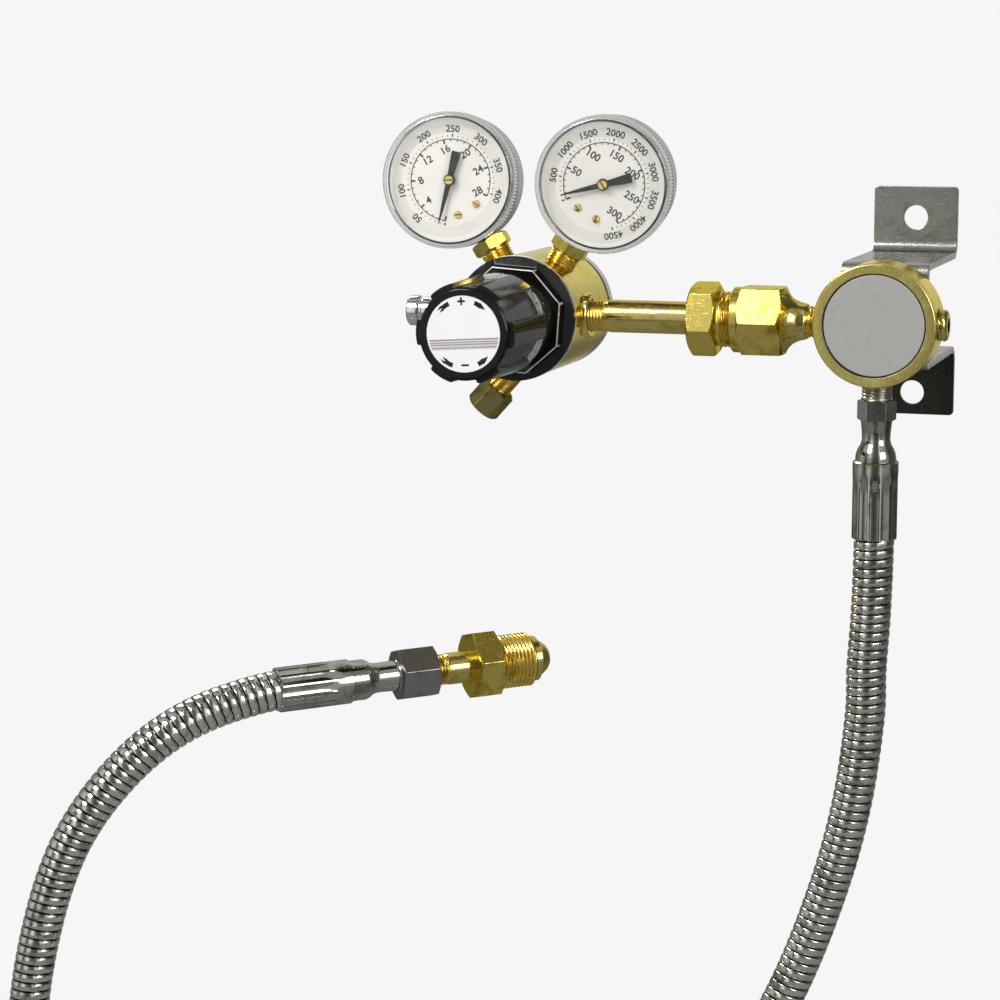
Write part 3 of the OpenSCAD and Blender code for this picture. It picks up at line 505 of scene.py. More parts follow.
for v in bracket.data.vertices:
    v.co.z = (29.4 if v.co.z < low + 1e-5 else 54.0) * mm
mode("EDIT")
for (y, z), (y1, z1) in zip(bracket_line[1:], bracket_line[2:]):
    bpy.ops.mesh.extrude_region_move(TRANSFORM_OT_translate={"value": (0, (y1 - y) * mm, (z1 - z) * mm)})
bpy.ops.mesh.select_mode(type="VERT")
bpy.ops.mesh.select_all(action="DESELECT")
mode("OBJECT")
for v in bracket.data.vertices:
    v.select = not -49.9 * mm < v.co.z < 53.9 * mm
mode("EDIT")
bpy.ops.mesh.bevel(offset=1.8 * mm, segments=6, affect="VERTICES")
bpy.ops.mesh.select_all(action="SELECT")
bpy.ops.mesh.normals_make_consistent(inside=False)
mode("OBJECT")


def walled(piece, thickness, offset, even=False):
    """Gives a sheet its thickness, to both sides or to one"""
    wall = piece.modifiers.new("wall", "SOLIDIFY")
    wall.thickness, wall.offset, wall.use_even_offset = thickness * mm, offset, even
    bpy.ops.object.modifier_apply(modifier=wall.name)
    return piece


walled(bracket, 3.2, 0, True)
for z in (-40, 40):
    cut(bracket, turned("bolt_hole", [(-5, 5.5), (2, 5.5)], at(0, 0, z) @ along_y))
for z in (-11, 11):
    cut(bracket, turned("screw_hole", [(-84, 2.8), (-77, 2.8)], at(0, 0, z) @ along_y, 32))
painted(eased(bracket, 0.35, 2, 40, 30), stainless)
stands_for(bracket, "wall_bracket")

# Block: turned brass with a bright ring in front, a fine groove behind the ring, and ports tapped from three
# sides. The disc let into its face is bare satin aluminium with painted shade as a dark line round it, and the
# free port is stopped by a plug.
polished_brass = metal("polished_brass", (0.94, 0.79, 0.24), (0.98, 0.86, 0.34), (0.20, 0.32), scale=0.8, bump=0.10)
block = turned("round_block", [(-82.5, 25.5), (-83.5, 26.5), (-102.9, 26.5), (-103.1, 26.15), (-103.5, 26.15),
                               (-103.7, 26.5), (-105.9, 26.5), (-106.5, 25.9), (-106.5, 22.2), (-106.2, 21.85),
                               (-105.1, 21.8)], along_y, 160)
eased(block, 0.18, 2, 32)
mouth = [(-28, 8.4), (-25.6, 7.0), (-12, 6.9)]
cut(block, turned("left_port", mouth, port @ along_x))
cut(block, turned("right_port", [(-h, r) for h, r in reversed(mouth)], port @ along_x))
cut(block, turned("lower_port", mouth, port))
painted(smoothed(block), polished_brass, crease_shade_paint)
# the narrow faces in the gap between ring and disc take the dark paint, as painted shade
stands_for(repainted(block, along_y, lambda z, r: z < -105 and 21.7 < r < 22.15), "station_block")

satin = metal("satin_aluminium", (0.42, 0.42, 0.40), (0.38, 0.38, 0.36), (0.40, 0.46), scale=2.5, bump=0.04,
              metallic=0.1, scratched=0.2)
plate_disc = turned("label_disc", [(-105.1, 21.6), (-106.0, 21.6), (-106.3, 21.3)], along_y, 128)
painted(eased(plate_disc, 0.12, 2, 30), satin)
stands_for(plate_disc, "label_plate")

plug = threaded("port_plug_cut", [(13, 6.1)], (14, 28.4, 6.8, pipe_pitch, 0.7), [(28.7, 6.7), (29.5, 6.1), (29.9, 5.2)],
                port @ along_x, 72)
cut(plug, hexagon("socket_tool", 6.4, (23, 31), port @ along_x, 30, 0.1, 0.1))
painted(smoothed(plug, 50), brass)
stands_for(plug, "port_plug")

# Inlet line: the adapter screws into the block, the union nut screws into the adapter and holds the nipple's
# rounded nose, and the nipple screws into the regulator. All are cut from bright brass bar.
regulator = at(-155, port_y, 0)
line = regulator @ along_x
adapter_flats = painted(smoothed(hexagon("inlet_adapter_cut", union_flats, (95.6, 114.8), line, 31.4, 1.8, 0.3)),
                        flat_brass)
adapter_boss = turned("adapter_boss", [(104, 12.3), (92.1, 12.3), (92.1, 13.6), (92.7, 14.2), (95.8, 14.2)], line, 96)
adapter_cone = threaded("adapter_cone", [(113, 13.4), (114.8, 13.6), (115.4, 12.7), (116.6, 11.2), (117.6, 10.2),
                                         (118.8, 9.4), (120, 8.8), (121.2, 8.3), (123.6, 7.8), (124.6, 7.3)],
                        (125, 141.2, 6.8, pipe_pitch, 0.7), [(142, 6.2)], line, 96, brass, cut_brass)
painted(smoothed(adapter_boss), flat_brass)
smoothed(adapter_cone, 50)
stands_for(joined(adapter_flats, adapter_boss, adapter_cone), "inlet_adapter")
stands_for(union_nut("inlet_nut_cut", 73.5, 45, line), "inlet_nut", "inlet_union_nut")
stands_for(nipple_with_nose("inlet_nipple_turned", 14, 35.5, 102.8, line), "inlet_nipple")

# Regulator body: a turned brass drum, satin where the lathe left it, tapped all round for the ports.
# A short round boss carries the inlet.
satin_brass = metal("satin_brass", (0.86, 0.75, 0.30), (0.68, 0.57, 0.17), (0.10, 0.20), scale=0.8, bump=0.05)
drum_axis = regulator @ along_y
drum = turned("regulator_drum", [(-22, 26.6), (-21.6, 27), (31.4, 27), (32, 26.4), (32, 20), (38, 20)], drum_axis, 160)
eased(drum, 0.2, 2, 32)
for name, angle in (("outlet_gauge_port", -31), ("inlet_gauge_port", 31), ("outlet_port", -90)):
    cut(drum, turned(name, [(14, 6.85), (26.1, 6.9), (29, 8.2)], regulator @ spun(angle, "Y")))
boss = turned("inlet_boss", [(24, 10.0), (27.6, 10.0), (28.2, 9.4), (28.2, 7.2), (25.5, 6.9)], line, 96)
painted(eased(boss, 0.15, 2, 40), satin_brass)
stands_for(joined(painted(smoothed(drum), satin_brass), boss), "regulator_body")

# Bonnet: a casting enamelled gloss black, with an octagon for the spanner and eight facets that run out to the
# flange's rim. The enamel is worn off along the octagon's edges.
enamel = metal("black_enamel", (0.006, 0.006, 0.005), (0.014, 0.014, 0.012), (0.08, 0.20), scale=0.8, bump=0.04,
               metallic=0, scratched=0.4, coat=0.5)
worn = metal("worn_edge", (0.82, 0.82, 0.79), (0.10, 0.10, 0.09), (0.22, 0.40), scale=5, bump=0.05, metallic=0.4)


def prism(name, sides, wide, ends, place, turn):
    """Flat-sided bar or cone; wide gives the corner radius at each end"""
    a, b = ends
    bpy.ops.mesh.primitive_cone_add(vertices=sides, radius1=wide[0] * mm, radius2=wide[1] * mm, depth=(b - a) * mm,
                                    location=(0, 0, (a + b) / 2 * mm), rotation=(0, 0, radians(turn)))
    return placed(named(name), place)


corner = 1 / cos(radians(22.5))
bonnet = turned("bonnet_flange", [(-22, 27.2), (-27.5, 27.2)], drum_axis, 160)
cut(bonnet, prism("facets", 8, ((22.5 + 0.6) * corner, 33.0 * corner), (-27.5, -21.8), drum_axis, 26.5), keep=True)
octagon = prism("octagon", 8, (22.4 * corner, 22.4 * corner), (-33, -27.2), drum_axis, 26.5)
eased(painted(bonnet, enamel, worn), 0.28, 2, 12, 30)
eased(painted(octagon, enamel, worn), 0.5, 2, 30, 30, 1)
tower = turned("bonnet_tower", [(-30, 20.0), (-33, 20.0), (-36, 19.0), (-40, 15.0), (-62, 15.0), (-62, 5.1),
                                (-57, 5.1)], drum_axis, 96)
painted(eased(tower, 0.3, 2, 20), enamel)
skirt = painted(turned("bonnet_skirt", [(-22.4, 24), (-21.9, 27.3), (-22.9, 27.3), (-23, 27.0)], drum_axis, 160), worn)
stands_for(joined(bonnet, octagon, tower, smoothed(skirt)), "bonnet")

# Rear cap: chromed, with a groove and a rounded edge. A black seal, and the black face that the cap presses on it
# with, show as a dark line between cap and body.
chrome = metal("polished_chrome", (0.84, 0.84, 0.84), (0.68, 0.68, 0.67), (0.05, 0.14), scale=0.8, bump=0.015,
               scratched=0.2)
rubber = metal("black_rubber", (0.02, 0.02, 0.02), (0.035, 0.035, 0.034), (0.55, 0.7), scale=1.4, bump=0.12, metallic=0)
cap = turned("rear_cap_turned", [(33.5, 20.5), (33.5, 26.1), (34.7, 26.1), (34.8, 26.8), (35.0, 27.0), (36.6, 27.0),
                                 (36.7, 26.5), (37.3, 26.5), (37.4, 27.0), (39.1, 27.0), (40.3, 26.8), (41.2, 26.3),
                                 (42.0, 25.5), (42.6, 24.4), (43.2, 22.6), (43.8, 20), (44.3, 16), (44.6, 10),
                                 (44.7, 4)], drum_axis, 160)
painted(smoothed(cap, 25), chrome, rubber)
back = drum_axis.inverted()
for face in cap.data.polygons:
    if (back @ face.center).z < 34.75 * mm:
        face.material_index = 1
stands_for(cap, "rear_cap")
seal = turned("seal_ring", [(32, 20.2), (32, 26.0), (32.4, 26.3), (33.1, 26.3), (33.5, 26.0), (33.5, 20.2)], drum_axis,
              128)
stands_for(painted(smoothed(seal), rubber), "cap_seal")

# Knob: moulded in gloss black plastic, with six grips that swell towards the back. The label is a white film
# disc in a shallow seat, printed with two turning arrows, a plus, a minus and a band of thin grey lines.
plastic = metal("gloss_plastic", (0.006, 0.006, 0.005), (0.012, 0.012, 0.011), (0.10, 0.22), scale=1.2, bump=0.015,
                metallic=0, scratched=0.3)
plastic.node_tree.nodes["Principled BSDF"].inputs["Specular IOR Level"].default_value = 0.22
scuffed = metal("scuffed_plastic", (0.46, 0.46, 0.43), (0.03, 0.03, 0.03), (0.30, 0.55), scale=7, bump=0.3, metallic=0)
core = 19.4
# each ring's height, its radius between the grips, and how much of the grips' reach it has
knob_rings = [(-95.2, 16.05, 0), (-96, 16.05, 0), (-96, 18.3, 0), (-95.7, 18.9, 0), (-95.1, core, 0), (-94.25, core, 0),
              (-94.2, core, 0.15), (-94.15, core, 0.84), (-93.8, core, 0.96), (-93.2, core, 1.0)]
knob_rings += [(-93.2 + i * 4.1, core, 1.0) for i in range(1, 11)]
knob_rings += [(-51.9, 19.5, 1.0), (-51.6, 19.9, 1.0), (-51.45, 21.0, 1.0), (-51.2, 21.5, 1.0), (-50.8, 21.7, 1.0),
               (-50.2, 21.8, 1.0), (-49.6, 21.8, 0.6), (-49.2, 21.8, 0), (-48.6, 21.7, 0), (-48.15, 21.3, 0),
               (-48, 20.9, 0), (-48, 16.4, 0), (-48.4, 15.9, 0), (-58, 15.9, 0)]
knob = turned("grip_knob", [(h, r) for h, r, _ in knob_rings], upright, 144)
for v in knob.data.vertices:
    x, y, z = v.co / mm
    r, w = hypot(x, y), degrees(atan2(y, x))
    ring = min(knob_rings, key=lambda k: abs(k[0] - z) + 3 * abs(k[1] - r))
    if ring[2] == 0:
        continue
    # how far round it stands from the nearest of six grips, whose edges fall in steep steps
    off = (w + 30) % 60 - 30
    reach = 21.4 + 0.8 * (z + 94) / 44
    side = abs(off)
    if side < 11:
        lobe = reach
    elif side < 13.6:
        lobe, side = reach - 0.04, 13.3
    elif side < 15.5:
        lobe, side = reach - 0.45, 14.9
    elif side < 18:
        lobe, side = r + 0.25, 15.5
    else:
        lobe = r
    r = max(r, r + (lobe - r) * ring[2])
    w = radians(w - off + (side if off > 0 else -side))
    v.co = Vector((r * cos(w), r * sin(w), z)) * mm
painted(smoothed(placed(knob, drum_axis), 24), plastic, scuffed)
repainted(knob, drum_axis, lambda z, r: -51.8 < z < -50.9 and r < 21.7)
stands_for(knob, "adjusting_knob", "knob_set")

film = metal("printed_film", (0.96, 0.96, 0.95), (0.94, 0.94, 0.93), (0.45, 0.55), scale=0.6, bump=0.03, metallic=0,
             scratched=0.2)


def paint(name, fresh, worn_off, rough=(0.45, 0.6)):
    """Printing ink or thin matt paint"""
    return metal(name, fresh, worn_off, rough, scale=2, bump=0.04, metallic=0)


ink = paint("black_ink", (0.02, 0.02, 0.022), (0.05, 0.05, 0.05))
pale_ink = paint("pale_ink", (0.34, 0.31, 0.30), (0.42, 0.39, 0.38))
faint_ink = paint("faint_ink", (0.70, 0.66, 0.65), (0.76, 0.73, 0.72))
label = painted(eased(turned("label_film", [(-95.2, 15.9), (-95.8, 15.9)], drum_axis, 128), 0.1, 2), film)
stands_for(label, "knob_label", "knob_set")
front = Matrix(((1, 0, 0, 0), (0, 0, -1, 0), (0, 1, 0, 0), (0, 0, 0, 1)))


def mark(r0, r1, a0, a1, pointed=False):
    """A printed stroke between two radii and two angles, flat on XY, thinning to nothing at a1 if pointed"""
    n = max(1, int(abs(a1 - a0) / 3))
    bpy.ops.mesh.primitive_grid_add(x_subdivisions=n, y_subdivisions=1, size=1)
    stroke = bpy.context.object
    for v in stroke.data.vertices:
        f, g = v.co.x + 0.5, v.co.y + 0.5
        if pointed:
            g = 0.5 + (g - 0.5) * (1 - f)
        w, r = radians(a0 + (a1 - a0) * f), r0 + (r1 - r0) * g
        v.co = Vector((r * cos(w), r * sin(w), 0)) * mm
    return stroke


def lettered(text, height, x, y, turn):
    """Numbers or signs in print, flat on XY, made mesh"""
    bpy.ops.object.text_add(location=(x * mm, y * mm, 0), rotation=(0, 0, radians(turn)))
    words = bpy.context.object
    words.data.body, words.data.size = text, height * 1.42 * mm
    words.data.align_x, words.data.align_y = "CENTER", "CENTER"
    words.data.resolution_u, words.data.offset = 4, 0.034 * height * mm
    bpy.ops.object.convert(target="MESH")
    words = bpy.context.object
    bpy.ops.object.transform_apply()
    return words


def inked(ink, strokes):
    for s in strokes:
        s.data.materials.append(ink)
    return strokes


def printed(name, strokes, place, body="station"):
    """Joins the strokes, faces them forward and lays them on the surface of a node's piece"""
    sheet = joined(*strokes)
    sheet.name = sheet.data.name = name
    mode("EDIT")
    bpy.ops.mesh.select_all(action="SELECT")
    bpy.ops.mesh.remove_doubles(threshold=1e-7)
    mode("OBJECT")
    if sum(f.normal.z * f.area for f in sheet.data.polygons) < 0:
        sheet.data.flip_normals()
    for f in sheet.data.polygons:
        if f.normal.z < 0:
            f.flip()
    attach(placed(sheet, place), body)


label_strokes = []
for head, shaft, tip, tail, notch, end in ((66, 57, 43, 113, 127, 137), (294, 303, 317, 247, 233, 223)):
    label_strokes += [mark(12.9, 14.8, head, shaft), mark(12.6, 15.1, shaft, tip, True), mark(12.9, 14.8, tail, notch),
                      mark(12.6, 13.85, notch, end, True), mark(13.85, 15.1, notch, end, True)]
inked(ink, label_strokes)
label_strokes += inked(ink, [lettered("+", 4.4, 0, 13.2, 0), lettered("\u2212", 4.4, 0, -13.2, 0)])
for y, deep, shade in ((-2.3, 0.7, pale_ink), (-3.3, 0.5, pale_ink), (-3.8, 0.5, faint_ink), (-4.3, 0.5, pale_ink),
                       (-4.95, 0.8, faint_ink), (-5.6, 0.5, pale_ink), (-6.1, 0.5, faint_ink)):
    half = sqrt(15.2 ** 2 - y * y)
    bpy.ops.mesh.primitive_grid_add(x_subdivisions=8, y_subdivisions=1, size=1)
    stripe = bpy.context.object
    for v in stripe.data.vertices:
        v.co = Vector((v.co.x * 2 * half, y + v.co.y * deep, 0)) * mm
    label_strokes += inked(shade, [stripe])
printed("label_print", label_strokes, regulator @ at(0, -95.84, 0) @ front @ spun(3.7, "Z"),
        "knob_set")

# Outlet fitting: chromed, with a hexagon, two grooves and a bored end.
outlet_hex = painted(smoothed(hexagon("outlet_fitting_turned", 17.4, (-37.5, -29.4), line, 0, 1.0)), chrome)
outlet_tube = turned("outlet_tube", [(-45, 4.3), (-56.2, 4.3), (-56.6, 4.7), (-56.6, 6.1), (-55.9, 6.8), (-52.0, 6.9),
                                     (-51.6, 6.7), (-51.3, 5.6), (-49.8, 5.6), (-49.4, 6.3), (-44.6, 6.3), (-44.2, 5.8),
                                     (-43.0, 5.8), (-42.6, 6.3), (-37, 6.3)], line, 96)
outlet_stub = threaded("outlet_stub", [(-30, 6.2)], (-29.3, -16, 6.8, pipe_pitch, 0.7), [(-15, 6.2)], line, 72, chrome)
painted(eased(outlet_tube, 0.12, 2, 35), chrome)
smoothed(outlet_stub, 50)
stands_for(joined(outlet_hex, outlet_tube, outlet_stub), "outlet_fitting")

# Relief valve: a small brass hexagon on a threaded neck, bored at its end where the plug sits.
relief_axis = regulator @ spun(16, "Y") @ at(0, 0, -27) @ spun(26, "Y")
relief_brass = metal("relief_brass", (0.42, 0.36, 0.14), (0.16, 0.13, 0.04), (0.07, 0.18), scale=1.4, bump=0.04)
relief = hexagon("relief_hexagon", 14.2, (-23, -10.2), relief_axis, 12, 1.3, 0.5)
cut(relief, turned("relief_bore", [(-24, 5.4), (-22.8, 4.6), (-15, 4.6)], relief_axis, 64))
painted(smoothed(relief), relief_brass)
neck = threaded("relief_neck", [(-11, 4.6)], (-10.1, 4, 5.1, 1.0, 0.5), [(5, 4.4)], relief_axis, 64, cut_brass)
stands_for(joined(relief, smoothed(neck, 50)), "relief_body")

# Gauges: two alike but for their scales, each screwed into the body by its brass stem. A plated can holds the dial
# on the stem's block, a clear moulded lens snaps over it with a finely ribbed skirt, and the pointer carries a
# slotted hub.
dial_white = metal("dial_enamel", (0.51, 0.495, 0.455), (0.48, 0.465, 0.425), (0.38, 0.46), scale=0.5, bump=0.02,
                   metallic=0, scratched=0)
pointer_black = paint("pointer_paint", (0.012, 0.012, 0.012), (0.025, 0.025, 0.025), (0.35, 0.5))
grey_ink = paint("grey_ink", (0.022, 0.022, 0.02), (0.045, 0.045, 0.04))
can_steel = metal("plated_can", (0.62, 0.62, 0.60), (0.48, 0.48, 0.46), (0.22, 0.34), bump=0.06)
tarnished = metal("tarnished_bronze", (0.24, 0.16, 0.07), (0.14, 0.09, 0.04), (0.35, 0.5), scale=2, bump=0.1)


def clear(name, rough, tint, transmission, scale):
    """A clear moulding with faint smears in its gloss"""
    material = metal(name, tint, tint, rough, scale=scale, bump=0.01, metallic=0, scratched=0.1)
    tree = material.node_tree
    feed(tree, tree.nodes["Principled BSDF"], {"Transmission Weight": transmission, "IOR": 1.46})
    return material


lens_clear = clear("clear_lens", (0.02, 0.05), (1.0, 1.0, 1.0), 1.0, 0.6)
lens_skirt = clear("lens_skirt", (0.08, 0.18), (0.62, 0.62, 0.60), 0.0, 1.0)
lens_skirt.node_tree.nodes["Principled BSDF"].inputs["Metallic"].default_value = 0.75
# painted shade: a grey tint in the lens band over the dial's outer part darkens the dial there
lens_shade_band = clear("lens_shade_band", (0.05, 0.12), (0.86, 0.86, 0.85), 0.96, 0.8)


def slot_across(name, wide, long, top, deep, turn, place):
    """Cutting tool for a screwdriver slot on a head that faces -z"""
    bpy.ops.mesh.primitive_cube_add(size=1, location=(0, 0, (top + deep / 2 - 0.5) * mm),
                                    rotation=(0, 0, radians(turn)), scale=(long * mm, wide * mm, (deep + 1) * mm))
    return placed(named(name), place)


def slotted(head, floor_z, place):
    """Puts the dark material on the slot's floor and sides"""
    return repainted(smoothed(head), place,
                     lambda z, r: floor_z - 0.7 < z < floor_z + 0.05 and (r < 0.9 or z > floor_z - 0.05))


def gauge(side, lean, full, step, inner_full, inner_step, bar):
    """The outer scale's end and step, the inner one's, and the angle of one unit on the inner one"""
    place = regulator @ spun(lean, "Y") @ at(0, 0, 68) @ spun(5, "Z")
    facing = place @ along_y
    flats = painted(smoothed(hexagon(side + "_gauge_stem", 15.8, (-35.4, -30), place, 30, 1.1)), flat_brass)
    stem = threaded("stem", [(-54, 6.2)], (-53.2, -36.2, 6.8, pipe_pitch, 0.7), [(-36, 6.1), (-35, 6.1), (-35, 5)],
                    place, 72, brass, cut_brass)
    smoothed(stem, 50)
    neck = painted(smoothed(turned("stem_neck", [(-31, 5), (-27, 5), (-27, 4)], place, 48)), flat_brass)
    bpy.ops.mesh.primitive_cube_add(size=1, location=(0, 0.1 * mm, -20.6 * mm), scale=(15 * mm, 10.8 * mm, 12.4 * mm))
    inner = painted(eased(placed(named("stem_block"), place), 0.6, 2), flat_brass)
    stands_for(joined(flats, stem, neck, inner), side + "_gauge_socket")

    can = turned(side + "_gauge_can", [(-9.2, 28.0), (-9.2, 28.8), (9.6, 28.8), (11.4, 28.4), (12.6, 27.4),
                                       (13.0, 26.2), (13.0, 22.6), (12.5, 22.0), (12.5, 6.2), (13.0, 5.6),
                                       (13.0, 2.0)], facing, 128)
    alone(can)
    mode("EDIT")
    bpy.ops.mesh.select_all(action="DESELECT")
    mode("OBJECT")
    back = facing.inverted()
    for f in can.data.polygons:
        f.select = (back @ f.center).z < -9.1 * mm and len(f.vertices) > 10
    mode("EDIT")
    bpy.ops.mesh.delete(type="FACE")
    mode("OBJECT")
    cut(walled(can, 0.5, -1), turned("stem_hole", [(-32, 5.3), (-25, 5.3)], place, 48))
    stands_for(painted(smoothed(can, 28), can_steel), side + "_gauge_case")

    dial = turned(side + "_gauge_face", [(-8.0, 27.7), (-8.6, 27.7)], facing, 128)
    cut(dial, turned("arbor_hole", [(-9, 1.6), (-7, 1.6)], facing, 24))
    seats = [place @ at(x, 0, -14.8) @ along_y for x in (-4.7, 4.7)]
    for seat in seats:
        cut(dial, turned("screw_hole", [(-9, 1.3), (-7, 1.3)], seat, 24))
    stands_for(painted(dial, dial_white), side + "_gauge_dial")

    # both scales run clockwise from zero, with a bold tick and a number at each step
    zero, sweep = 232.5, 281.0
    black, grey = [mark(17.65, 18.1, zero, zero - bar * inner_full)], []
    minor = 4 if inner_step == 4 else 5
    for k in range(inner_full // inner_step * minor + 1):
        value = k * inner_step / minor
        w = zero - bar * value
        bold = k % minor == 0
        half = 1.4 if bold else 0.75
        black.append(mark(15.9 if bold else 16.9, 17.8, w - half, w + half))
        if bold and k:
            black.append(lettered(str(round(value)), 3.2, 13.3 * cos(radians(w)), 13.3 * sin(radians(w)), 0))
    ticks = full // (step // 5)
    for k in range(ticks + 1):
        w = zero - sweep * k / ticks
        bold = k % 5 == 0
        inside, outside, half = (18.8, 20.1, 0.9) if bold else (19.0, 19.6, 0.6)
        grey.append(mark(inside, outside, w - half, w + half))
        if bold and k:
            number = str(k // 5 * step)
            grey.append(lettered(number, 3.0, 22.4 * cos(radians(w)), 22.4 * sin(radians(w)), w - 90))
    printed(side + "_gauge_scale", inked(ink, black) + inked(grey_ink, grey), place @ at(0, -8.63, 0) @ front)
    # a black ring printed just under the lens, inside its rim, as a painted shadow where lens and can meet
    printed(side + "_gauge_shadow_ring", inked(ink, [mark(27.1, 27.95, 0, 360)]), place @ at(0, -12.3, 0) @ front)

    screws = []
    for seat, turn in zip(seats, (20, 65)):
        head = turned("dial_screw", [(0.8, 1.1), (-8.6, 1.15), (-8.6, 1.75), (-9.0, 1.7), (-9.4, 1.4), (-9.55, 0.8)],
                      seat, 32)
        cut(head, slot_across("slot", 0.7, 4.4, -9.6, 0.8, turn, seat))
        screws.append(slotted(painted(head, brass, tarnished), -8.8, seat))
    screws[0].name = side + "_gauge_dial_screws"
    stands_for(joined(*screws), side + "_gauge_screws")

    # black pointer with a broad tail, over a washer of its own
    outline = [(-19.6, 0.22), (-14, 0.62), (-8, 1.0), (-2.4, 1.2), (0, 1.25), (2.4, 1.35), (6, 1.65), (12.2, 2.15),
               (12.9, 1.95)]
    bpy.ops.mesh.primitive_grid_add(x_subdivisions=1, y_subdivisions=len(outline) - 1, size=1)
    needle = named(side + "_gauge_needle")
    for j, v in enumerate(needle.data.vertices):
        z, half = outline[j // 2]
        v.co = Vector(((1 if j % 2 else -1) * half, z, 0)) * mm
    eased(placed(walled(needle, 0.4, 0), place @ at(0, -10.55, 0) @ spun(45, "Y") @ front), 0.1, 1)
    washer = turned("washer", [(-9.6, 1.9), (-9.6, 2.5), (-10.9, 2.6), (-11.1, 2.45), (-11.1, 1.0)], facing, 48)
    pointer = joined(painted(needle, pointer_black), painted(smoothed(washer), pointer_black))
    stands_for(pointer, side + "_gauge_pointer", side + "_pointer")

    hub = turned(side + "_gauge_arbor", [(-4, 0.92), (-10.9, 0.92), (-10.9, 2.05), (-12.0, 2.05), (-12.3, 1.75)],
                 facing, 48)
    cut(hub, slot_across("slot", 0.7, 6, -12.4, 0.9, 28, facing))
    slotted(painted(hub, brass, tarnished), -11.5, facing)
    stands_for(hub, side + "_gauge_hub", side + "_pointer")

    # the lens, whose skirt has a fine rib every three degrees
    lens = turned(side + "_gauge_window", [(-13.0, 24), (-13.0, 27.2), (-12.4, 28.0), (-9.3, 28.05), (-9.3, 28.85),
                                           (-5.2, 28.85), (-5.2, 29.9), (-5.6, 30.0), (-12.0, 30.0), (-12.6, 29.9),
                                           (-13.5, 29.2), (-14.1, 28.2), (-14.35, 27.0), (-14.35, 25.2),
                                           (-14.15, 22.6), (-14.2, 20.6), (-14.5, 12)], facing, 240)
    for v in lens.data.vertices:
        p = (back @ v.co) / mm
        r = hypot(p.x, p.y)
        if r > 29.6 and -12.3 < p.z < -5.4:
            k = (r - (0.4 if round(atan2(p.y, p.x) / radians(1.5)) % 2 else 0)) / r
            v.co = facing @ (Vector((p.x * k, p.y * k, p.z)) * mm)
    # the faces between radii 20.5 and 25.3 mm take the grey band of painted shade
    repainted(painted(lens, lens_clear, lens_skirt, lens_shade_band), facing, lambda z, r: 20.5 < r < 25.3, 2)
    smoothed(repainted(lens, facing, lambda z, r: r > 28 and z > -12.7), 25)
    lens.visible_shadow = False
    stands_for(lens, side + "_gauge_lens")


gauge("outlet", -31, 400, 50, 28, 4, 40.75 / 4)
gauge("inlet", 31, 4500, 500, 300, 50, 45.3 / 50)

# Everything that stays as modelled inside: turned steel, springs, bronze, the ivory seat and the black clip
turned_steel = metal("turned_steel", (0.50, 0.50, 0.50), (0.36, 0.36, 0.35), (0.20, 0.34), bump=0.06)
spring_steel = metal("spring_steel", (0.34, 0.34, 0.36), (0.22, 0.22, 0.23), (0.26, 0.4), bump=0.08)
seat_plastic = metal("seat_plastic", (0.78, 0.75, 0.66), (0.66, 0.62, 0.52), (0.4, 0.5), metallic=0)
for material, names in ((satin_brass, "rear_plug outlet_gauge_movement inlet_gauge_movement"), (brass, "relief_plug"),
                        (tarnished, "inlet_filter outlet_gauge_tube inlet_gauge_tube"), (seat_plastic, "valve_seat"),
                        (rubber, "screw_clip"), (spring_steel, "range_spring poppet_spring relief_spring"),
                        (turned_steel, "block_screws adjusting_screw spring_button diaphragm diaphragm_plate "
                                       "poppet relief_poppet")):
    for name in names.split():
        painted(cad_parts[name], material)

# Stage: a plain pale floor, a white surround that shows brighter in front at eye level than above or below, and
# plain soft lamps.
bpy.ops.mesh.primitive_plane_add(size=3.4, location=(0, 0, -0.56))
floor = bpy.context.object
floor.name = "floor"
floor_paint = bpy.data.materials.new("floor_paint")
floor_paint.use_nodes = True
coat = floor_paint.node_tree
pale = (0.92, 0.92, 0.92, 1)
dull = feed(coat, coat.nodes["Principled BSDF"], {"Base Color": (0.22, 0.22, 0.22, 1), "Roughness": 0.9})
glow = added(coat, "Emission", {"Color": pale})
eye = added(coat, "LightPath", {})
swap = added(coat, "MixShader", {0: eye.outputs["Is Camera Ray"], 1: dull.outputs["BSDF"], 2: glow.outputs["Emission"]})
feed(coat, coat.nodes["Material Output"], {"Surface": swap.outputs["Shader"]})
floor.data.materials.append(floor_paint)

world = bpy.data.worlds.new("studio")
bpy.context.scene.world = world
world.use_nodes = True
sky = world.node_tree
sky.nodes.clear()
ray = added(sky, "LightPath", {})
split = added(sky, "SeparateXYZ", {0: added(sky, "TexCoord", {}).outputs["Generated"]})


def ramp(source, stops):
    """Brightness against a value, eased from stop to stop"""
    node = added(sky, "ValToRGB", {0: source})
    node.color_ramp.interpolation = "EASE"
    rungs = node.color_ramp.elements
    while len(rungs) < len(stops):
        rungs.new(0.5)
    for rung, (place, value) in zip(rungs, stops):
        rung.position = place
        rung.color = (value, value, value, 1)
    return node.outputs["Color"]


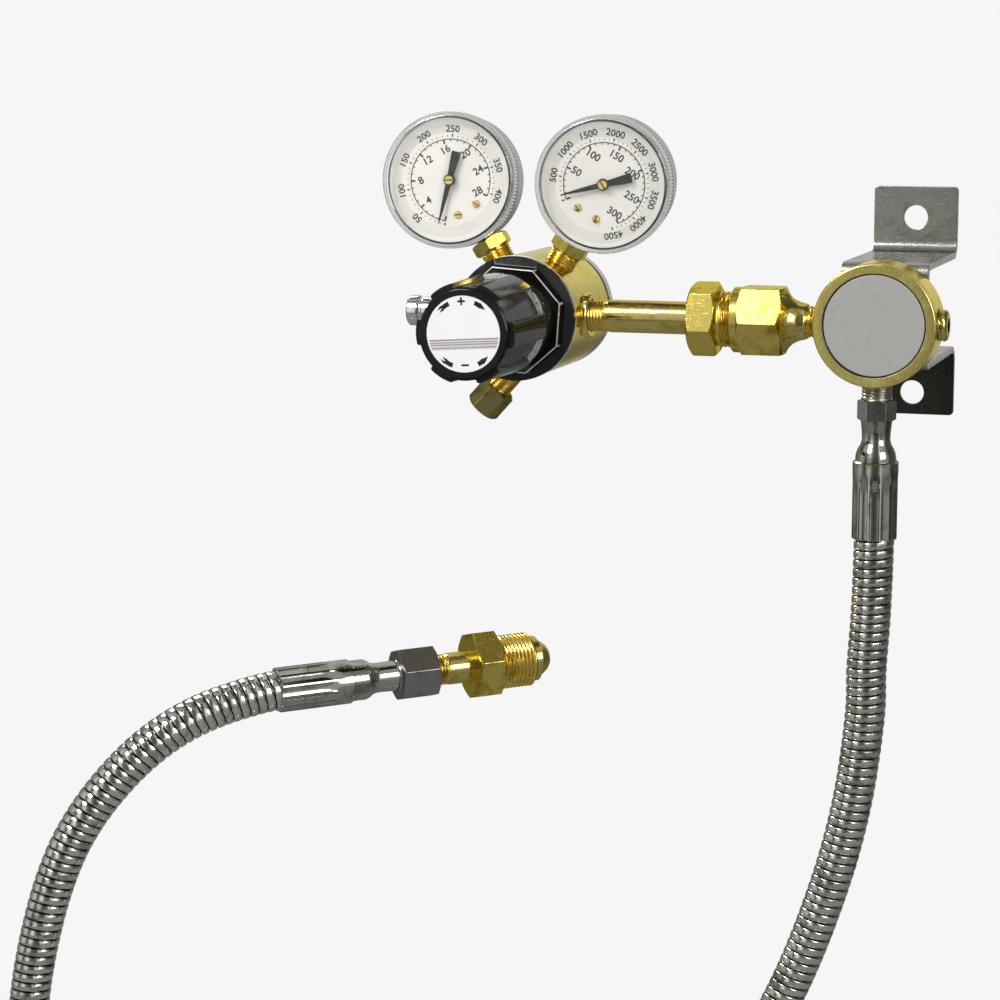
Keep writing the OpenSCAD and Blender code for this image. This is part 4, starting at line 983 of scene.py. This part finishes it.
tall = added(sky, "MapRange", {"Value": split.outputs["Z"], "From Min": -1})
height_light = ramp(tall.outputs["Result"], [(0.0, 0.22), (0.28, 0.08), (0.34, 0.08), (0.40, 0.50), (0.45, 0.70),
                                             (0.60, 0.75), (0.75, 0.74), (0.90, 0.70), (1.0, 0.62)])
backward = added(sky, "Math", {0: split.outputs["Y"], 1: -1}, "MULTIPLY")
turn = added(sky, "Math", {0: split.outputs["X"], 1: backward.outputs[0]}, "ARCTAN2")
across = added(sky, "MapRange", {"Value": turn.outputs[0], "From Min": -pi, "From Max": pi})
side_light = ramp(across.outputs["Result"], [
    (0.0, 1.1), (0.055, 1.05), (0.10, 0.25), (0.22, 0.5), (0.30, 0.95), (0.375, 0.15), (0.40, 0.9), (0.4375, 1.4),
    (0.455, 1.0), (0.478, 0.3), (0.53, 0.15), (0.572, 0.25), (0.596, 1.5), (0.62, 0.75), (0.72, 0.65), (0.76, 0.12),
    (0.90, 0.2), (0.93, 0.3), (0.955, 0.8), (0.975, 1.1), (1.0, 1.1)])
shine = added(sky, "Math", {0: height_light, 1: side_light}, "MULTIPLY")
seen = added(sky, "Math", {0: ray.outputs["Is Camera Ray"], 1: ray.outputs["Is Transmission Ray"]}, "MAXIMUM")
soft = added(sky, "Background", {"Color": shine.outputs[0], "Strength": 0.85})
white = added(sky, "Background", {"Color": pale, "Strength": 1.0})
either = added(sky, "MixShader", {0: seen.outputs[0], 1: soft.outputs[0], 2: white.outputs[0]})
added(sky, "OutputWorld", {"Surface": either.outputs[0]})

for name, place, aim, size, power in (("key_light", (-0.9, -1.3, 1.2), (-0.1, -0.08, -0.1), 0.7, 25),
                                      ("fill_light", (1.3, -1.1, 0.5), (-0.1, -0.08, -0.1), 0.9, 12),
                                      ("rim_light", (-1.0, 0.7, 0.9), (-0.15, -0.1, 0), 0.6, 11)):
    lamp = bpy.data.objects.new(name, bpy.data.lights.new(name, "AREA"))
    lamp.data.size = size
    lamp.data.energy = power
    lamp.location = place
    lamp.rotation_euler = (Vector(aim) - Vector(place)).to_track_quat("-Z", "Y").to_euler()
    bpy.context.scene.collection.objects.link(lamp)
